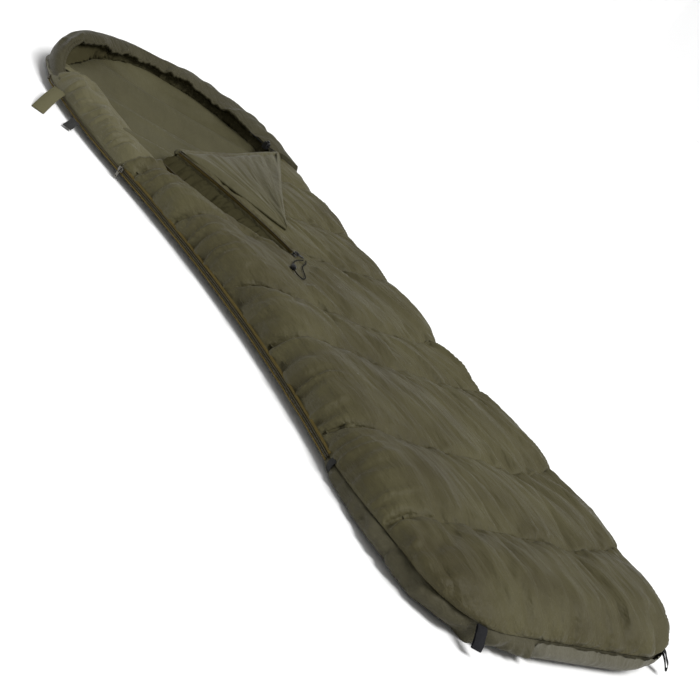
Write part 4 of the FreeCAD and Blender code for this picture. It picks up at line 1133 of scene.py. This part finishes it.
def chest_zip():
    for name, edge, first, last in (("right", SLIT_RIGHT, 14, -6), ("left", SLIT_LEFT, 6, -14)):
        line = resample(edge, 0.001)[0][first:last]
        way = tangents(line)
        # both edges run with the slit on their left
        inner = turned(way)
        wave = 0.0008 * noise(np.arange(len(line)) * 0.04, 0, 95)
        hang = left_drop(line) if name == "left" else 0.0
        path = raised(line + inner * (0.0005 + wave)[:, None], CHEST_TOP - 0.0062 - hang)
        side = raised(inner, 0.0)
        up = np.tile([0.0, 0.0, 1.0], (len(line), 1))
        hidden = 0.0 if name == "right" else 0.0062
        rise = path + up * (0.0058 - hidden) + side * 0.0002
        coil_piece(f"chest_coil_{name}", rise, side, up, f"chest_zip_coil_{name}")
        tape_path = path[::4] + side[::4] * 0.0004 + up[::4] * (0.0020 - hidden)
        lean = unit(up[::4] + side[::4] * 0.10)
        face = unit(np.cross(lean, tangents(tape_path)))
        item = sweep(f"chest_tape_{name}", tape_path, lean, face, strip_profile(0.0062, 0.0009), "bag",
                     f"chest_zip_tape_{name}")
        paint(item, TAPE)


chest_zip()


def build_slit_tube():
    """Gathered cloth behind the chest slit, falling from the right edge towards the left one."""
    count = 120
    t = np.linspace(0.04, 1.0, count)
    edges = []
    for edge in (SLIT_RIGHT, SLIT_LEFT[::-1]):
        line, _ = resample(edge, 0.0005)
        share = np.linspace(0, 1, len(line))
        edges.append(points_at(t, share, line))
    a, b = edges
    rows = []
    for v in np.linspace(-0.05, 1.15, 26):
        belly = math.sin(PI * min(max(v, 0), 1))
        gather = 0.0042 * folds(t * 30 + 0.5 * v, v * 1.2, 96) + 0.0026 * folds(t * 62, v * 1.6, 97)
        cross = -0.006 * bell(t - 0.50 - 0.10 * v, 0.014)
        z = 0.0850 - 0.024 * v + 0.006 * belly + (gather + cross) * (0.35 + 0.65 * belly)
        rows.append(raised(a * (1 - v) + b * v, z))
    item = sheet_piece("slit_draft_cloth", np.array(rows), "bag", "chest_draft_tube", flip=True)
    # painted shade: darker tone for the shade inside the slit
    paint(item, SLIT_SHADED_CLOTH)


build_slit_tube()

# ---- folded chest flap

FOLD_WAY = (FOLD_END - CORNER) / np.linalg.norm(FOLD_END - CORNER)
FOLD_SIDE = np.array([FOLD_WAY[1], -FOLD_WAY[0]])
FOLD_LENGTH = float(np.linalg.norm(FOLD_END - CORNER))
TIP_ALONG, TIP_REACH = 0.066, 0.304
FLAP_UNDER, FOLD_Z, ROLL, SAG, SETTLE = 0.1032, 0.1015, 0.0112, 0.013, 0.010


def flap_plan(s, r):
    """Plan points at places along the fold and out from it."""
    return CORNER + np.multiply.outer(s, FOLD_WAY) + np.multiply.outer(r, FOLD_SIDE)


def flap_plan_at(s, r):
    """The same, for paired places."""
    return CORNER + s[:, None] * FOLD_WAY + r[:, None] * FOLD_SIDE


def flap_shape(r, v):
    """Along and out from the fold at a share v between the zip edge and the hem."""
    share = r / TIP_REACH
    start = 0.004 + TIP_ALONG * share
    end = FOLD_LENGTH - 0.004 + (TIP_ALONG + 0.010 - FOLD_LENGTH) * share
    end = end - 0.012 * np.sin(PI * np.clip(share, 0, 1))
    return start + (end - start) * v, end - start


def flap_top(r, v):
    s, width = flap_shape(r, v)
    edge = np.minimum(np.minimum(v, 1 - v) * width * 0.8, np.maximum(TIP_REACH - r, 0))
    crown = 1 - fade(edge, 0.010)
    ridge = 0.0056 * folds(v * 9 + 0.45 * noise(v * 5, r * 9, 101), r * 6, 102)
    silk = 0.0024 * folds(v * 26, r * 9, 103) * np.minimum(width / 0.2, 1)
    loft = (0.0080 + ridge + silk) * crown * (0.35 + 0.65 * step(r, 0.0, 0.03))
    return s, FLAP_UNDER + 0.0016 + loft + 0.0010 * crown


def build_flap():
    v = np.linspace(0, 1, 120)
    rows = []
    # round the fold, from under its front to the flap's own face; both ends are drawn in
    from_end = np.clip(np.minimum(v, 1 - v) * FOLD_LENGTH / 0.016, 0, 1)
    taper = dome(from_end)
    sag = SAG * np.sin(PI * v ** 0.7) ** 2
    settle = SETTLE * bell(v * FOLD_LENGTH, 0.17)
    for turn in np.linspace(-PI * 0.5, PI * 0.5, 11):
        swing = -ROLL * math.cos(turn) * taper
        wave = 0.0020 * folds(v * 26, turn, 104)
        s, _ = flap_shape(np.zeros_like(v), v)
        z = FOLD_Z + (ROLL + wave * 0.6) * math.sin(turn) * taper - sag * 0.6 - settle
        rows.append(np.column_stack([flap_plan(s, swing + wave * math.cos(turn) + sag), z]))
    for r in np.concatenate([np.linspace(0.006, 0.285, 62), [0.292, 0.298, 0.302, TIP_REACH]]):
        s, z = flap_top(np.full_like(v, r), v)
        by_fold = math.exp(-r / 0.03)
        rows.append(np.column_stack([flap_plan(s, np.full_like(v, r) + sag * by_fold),
                                     z - (0.6 * sag + settle) * by_fold]))
    top = np.array(rows)
    # the zip edge rolls down onto the quilt
    reach_in = np.append(FOLD_WAY, 0.0)
    first = top[:, :1]
    skirt = [first + reach_in * inset - np.array([0, 0, drop])
             for inset, drop in ((0.0020, 0.0062), (-0.0010, 0.0030))]
    top = np.concatenate([*skirt, top], 1)
    under = []
    for r in np.linspace(0.004, TIP_REACH, 30):
        s, _ = flap_shape(np.full_like(v, r), v)
        under.append(np.column_stack([flap_plan(s, np.full_like(v, r)), np.full_like(v, FLAP_UNDER)]))
    face = sheet_piece("flap_face", top, "chest_flap", "flap_lining", "flap_insulation", flip=True)
    subdivide(face)
    paint(face, FLAP_CLOTH)
    back = sheet_piece("flap_back", np.array(under), "chest_flap", "flap_shell")
    paint(back, OUTER)


build_flap()


HEM_WIDTH = 0.016


def hem_height(across):
    """Height of the flap's face under the hem band, at a distance in from the flap's edge."""
    return FLAP_UNDER + 0.0016 + 0.0090 * (1 - math.exp(-max(across, 0) * 0.8 / 0.010))


def build_hem():
    """The band sewn along the hem, rolling over the flap's edge. Gives the edge and its inward way."""
    r = np.linspace(0.010, 0.292, 90)
    edge = flap_plan_at(flap_shape(r, np.ones_like(r))[0], r)
    way = tangents(edge)
    side = turned(way)
    side = side * np.where((side @ FOLD_WAY) > 0, -1.0, 1.0)[:, None]
    rows = []
    for across, drop in ((-0.0018, 0.0085), (-0.0022, 0.0045), (-0.0012, 0.0012), (0.002, 0.0), (0.005, 0.0),
                         (HEM_WIDTH * 0.5, 0.0), (HEM_WIDTH - 0.002, 0.0), (HEM_WIDTH, 0.0010)):
        share = np.clip(across / HEM_WIDTH, 0, 1)
        wave = 0.0007 * noise(r * 60, share * 2, 105) * (drop == 0)
        level = max(hem_height(across) + 0.0026 - drop, FLAP_UNDER)
        rows.append(raised(edge + side * across, level + wave))
    item = sheet_piece("flap_hem_band", np.array(rows), "chest_flap", "flap_hem")
    paint(item, FLAP_CLOTH)
    return edge, side


HEM = build_hem()


def build_flap_tape():
    """The zip tape under the flap's zip edge."""
    r = np.linspace(0.012, 0.290, 90)
    s_edge, _ = flap_shape(r, np.zeros_like(r))
    path = raised(flap_plan_at(s_edge + 0.0060, r), FLAP_UNDER - 0.0005)
    side = np.broadcast_to(np.append(FOLD_WAY, 0.0), path.shape)
    up = unit(np.cross(tangents(path), side))
    item = sweep("flap_tape_strip", path, side, up, strip_profile(0.010, 0.0008), "chest_flap",
                 "flap_zip_tape")
    paint(item, TAPE)


build_flap_tape()

# ---- straps and loops


def ribbon(name, path, across, width, thick, mat, body, node):
    """A strap of constant width along a path; across is the way of its width."""
    side = unit(np.broadcast_to(across, path.shape))
    up = unit(np.cross(tangents(path), side))
    item = sweep(name, path, side, up, strip_profile(width, thick), body, node)
    paint(item, mat)


def tab_frame(turn, drop):
    """The way a tab runs and the way of its width."""
    turn, drop = math.radians(turn), math.radians(drop)
    plan = np.array([-math.cos(turn), -math.sin(turn), 0])
    way = plan * math.cos(drop) + np.array([0, 0, -math.sin(drop)])
    across = np.array([-math.sin(turn), math.cos(turn), 0])
    return way, across


def build_tabs():
    way, across = tab_frame(50.5, 9.5)
    run = np.linspace(0, 0.152, 60)
    bend = 0.006 * np.sin(PI * run / 0.152) - 0.004 * (run / 0.152) ** 3
    path = np.array([-0.4065, 0.664, 0.031]) + run[:, None] * way + bend[:, None] * np.array([0, 0, 1.0])
    ribbon("hood_strap_web", path, across, 0.033, 0.0012, OLIVE_WEB, "hood_strap",
           "hood_tab")
    for name, node, a, b in (("strap_patch_root", "hood_tab_loop_patch", 0.008, 0.048),
                             ("strap_patch_end", "hood_tab_hook_patch", 0.110, 0.150)):
        chosen = (run >= a) & (run <= b)
        up = unit(np.cross(across, -tangents(path)))[chosen]
        ribbon(name, path[chosen] + up * 0.0013, across, 0.028, 0.0015, PATCH, "hood_strap",
               node)
    way, across = tab_frame(42, 14)
    run = np.linspace(0, 0.040, 20)
    bend = -0.004 * (run / 0.04) ** 2
    path = np.array([-0.4125, 0.530, 0.020]) + run[:, None] * way + bend[:, None] * np.array([0, 0, 1.0])
    ribbon("small_strap_web", path, across, 0.023, 0.0014, GREY_WEB, "small_strap",
           "small_tab")


build_tabs()


LOOP_LENGTH = 0.0405


def build_loops():
    """Black webbing folded in two, standing out from the foot seam with a soft bow."""
    lift = math.radians(50.0)
    for name, node, body, hinge, turn in (
            ("loop_left_web", "foot_loop_left", "loop_left", (-0.32364, -1.09314, 0.046), -27.3),
            ("loop_right_web", "foot_loop_right", "loop_right", (0.28085, -1.06793, 0.046), 33.8)):
        out = np.array([math.sin(math.radians(turn)), -math.cos(math.radians(turn)), 0])
        hang = out * math.sin(lift) - np.array([0, 0, math.cos(lift)])
        face = out * math.cos(lift) + np.array([0, 0, math.sin(lift)])
        half = np.linspace(0, 1, 24)
        down = LOOP_LENGTH * half
        front = 0.0016 + 0.0040 * np.sin(PI * half) + 0.001 * np.sin(3 * PI * half)
        rear = -0.0016 + 0.0022 * np.sin(PI * half)
        turn_down = np.linspace(0, PI, 9)[1:-1]
        ring_a = np.concatenate([front, 0.0016 * np.cos(turn_down), rear[::-1]])
        ring_z = np.concatenate([down, LOOP_LENGTH + 0.0016 * np.sin(turn_down), down[::-1]])
        path = np.array(hinge) + ring_a[:, None] * face + ring_z[:, None] * hang
        across = np.cross(out, (0, 0, 1.0))
        ribbon(name, path, across, 0.020, 0.0012, BLACK_WEB, body, node)


build_loops()


def build_end_tab():
    """The folded cloth end under the side zip's lower stop."""
    ys = np.linspace(-0.692, -0.677, 16)
    edge = left_edge(ys)
    rows = []
    for share in np.linspace(0, 1, 14):
        out = 0.0035 + 0.0045 * math.sin(PI * share) + 0.0010 * noise(ys * 160, share * 3, 111)
        rows.append(np.column_stack([edge - out, ys, np.full(len(ys), 0.012 + 0.024 * share)]))
    item = sheet_piece("zip_end_fold", np.array(rows), "bag", "side_zip_end_tab")
    solid = item.modifiers.new("thick", "SOLIDIFY")
    solid.thickness = 0.0016
    apply_modifiers(item)
    shade_smooth(item.data)
    paint(item, GREY_WEB)


build_end_tab()

# ---- cord on the chest pull

CORD_RADIUS = 0.00125


def build_cord():
    data = bpy.data.curves.new("cord_route", "CURVE")
    data.dimensions = "3D"
    data.resolution_u = 12
    spline = data.splines.new("NURBS")
    spline.points.add(len(CORD_POINTS) - 1)
    for point, spot in zip(spline.points, CORD_POINTS):
        point.co = (*spot, 1)
    spline.order_u = 3
    spline.use_endpoint_u = True
    bare = bpy.data.objects.new("cord_route", data)
    route = bpy.data.meshes.new_from_object(bare)
    path = np.array([v.co for v in route.vertices], float)
    bpy.data.objects.remove(bare)
    bpy.data.meshes.remove(route)
    item = sweep("pull_cord", path, *flat_frame(path), round_profile(CORD_RADIUS, 10), "chest_pull",
                 "chest_pull_cord")
    paint(item, CORD)


build_cord()

# ---- stitches


STITCH, STITCH_GAP, THREAD_WIDTH = 0.0030, 0.0022, 0.0007


def stitch_row(name, spots, body):
    """Raised thread dashes along points with face directions: spots are rows of (point, face)."""
    points, faces = np.array([s[0] for s in spots]), np.array([s[1] for s in spots])
    run = run_along(points)
    verts, quads = [], []
    for start in np.arange(0.001, run[-1] - STITCH, STITCH + STITCH_GAP):
        ends = [points_at(place, run, points) for place in (start, start + STITCH)]
        face = unit(points_at(start, run, faces))
        way = unit(ends[1] - ends[0])
        side = np.cross(way, face) * THREAD_WIDTH / 2
        up = face * THREAD_WIDTH * 0.8
        base = len(verts)
        middle = (ends[0] + ends[1]) / 2
        verts += [ends[0], middle + side, ends[1], middle - side, middle + up]
        quads += [(base, base + 1, base + 4), (base + 1, base + 2, base + 4), (base + 2, base + 3, base + 4),
                  (base + 3, base, base + 4)]
    paint(mesh_piece(name, verts, quads, body), THREAD)


def quilt_stitches():
    for k in range(1, len(SEAMS) - 1):
        spots = []
        for x in np.linspace(-0.36, 0.372, 260):
            y = float(seam_y(k, x))
            if x < float(left_edge(y)) + 0.006 or x > float(right_edge(y)) - 0.006:
                continue
            if inside(np.array([[x, y]]), OPEN_ZONE)[0]:
                if len(spots) > 8:
                    stitch_row(f"quilt_stitch_{k}_a", spots, "bag")
                spots = []
                continue
            z, normal = on_quilt(x, y)
            spots.append(((x, y, z + 0.0002), tuple(normal)))
        if len(spots) > 8:
            stitch_row(f"quilt_stitch_{k}_b", spots, "bag")


quilt_stitches()


def band_stitches():
    edge, side = HEM
    for number, offset in enumerate((0.003, 0.013)):
        base = hem_height(offset) + 0.0030
        spots = [((*(point + way * offset), base), (0, 0, 1)) for point, way in zip(edge, side)]
        stitch_row(f"hem_stitch_{number}", spots, "chest_flap")


band_stitches()

# ---- CAD pieces that stay

KEPT = {"side_slider": NICKEL, "side_pull": NICKEL, "chest_slider": BLACK_PLASTIC,
        "chest_pull": BLACK_PLASTIC, "side_zip_top_stop": COIL, "chest_toggle": BLACK_PLASTIC,
        "cord_lock_body": BLACK_PLASTIC, "cord_lock_plunger": BLACK_PLASTIC, "cord_lock_spring": SPRING}
for node, mat in KEPT.items():
    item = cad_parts[node]
    for place in item.material_slots:
        place.material = mat

# ---- floor and light

SKY_STRENGTH, SUN_STRENGTH, SUN_SPREAD = 0.42, 3.2, math.radians(30)
SUN_TRAVEL = Vector((-0.14, 0.47, -0.88))


def stage_piece(name, verts, faces, mat):
    data = bpy.data.meshes.new(name)
    data.from_pydata(verts, [], faces)
    item = bpy.data.objects.new(name, data)
    bpy.context.scene.collection.objects.link(item)
    item.data.materials.append(mat)


def studio():
    pale = material("floor", (0.93, 0.93, 0.93), 0.9)
    stage_piece("floor", [(-30, -30, 0), (30, -30, 0), (30, 30, 0), (-30, 30, 0)], [(0, 1, 2, 3)], pale)
    turn = np.linspace(0, 2 * PI, 64, endpoint=False)
    ring = np.array([[(28 * math.cos(a), 28 * math.sin(a), z) for a in turn] for z in (-0.1, 4.0)])
    stage_piece("backdrop", [tuple(v) for v in ring.reshape(-1, 3)], grid_faces(2, 64, wrap=True), pale)
    world = bpy.data.worlds.new("studio")
    bpy.context.scene.world = world
    world.use_nodes = True
    sky = world.node_tree.nodes["Background"]
    sky.inputs["Color"].default_value = (1, 1, 1, 1)
    sky.inputs["Strength"].default_value = SKY_STRENGTH
    lamp = bpy.data.lights.new("soft_sun", "SUN")
    lamp.energy, lamp.angle = SUN_STRENGTH, SUN_SPREAD
    sun = bpy.data.objects.new("soft_sun", lamp)
    sun.rotation_euler = SUN_TRAVEL.to_track_quat("-Z", "Y").to_euler()
    bpy.context.scene.collection.objects.link(sun)
    bpy.context.scene.view_settings.view_transform = "Standard"


studio()

bpy.context.view_layer.update()
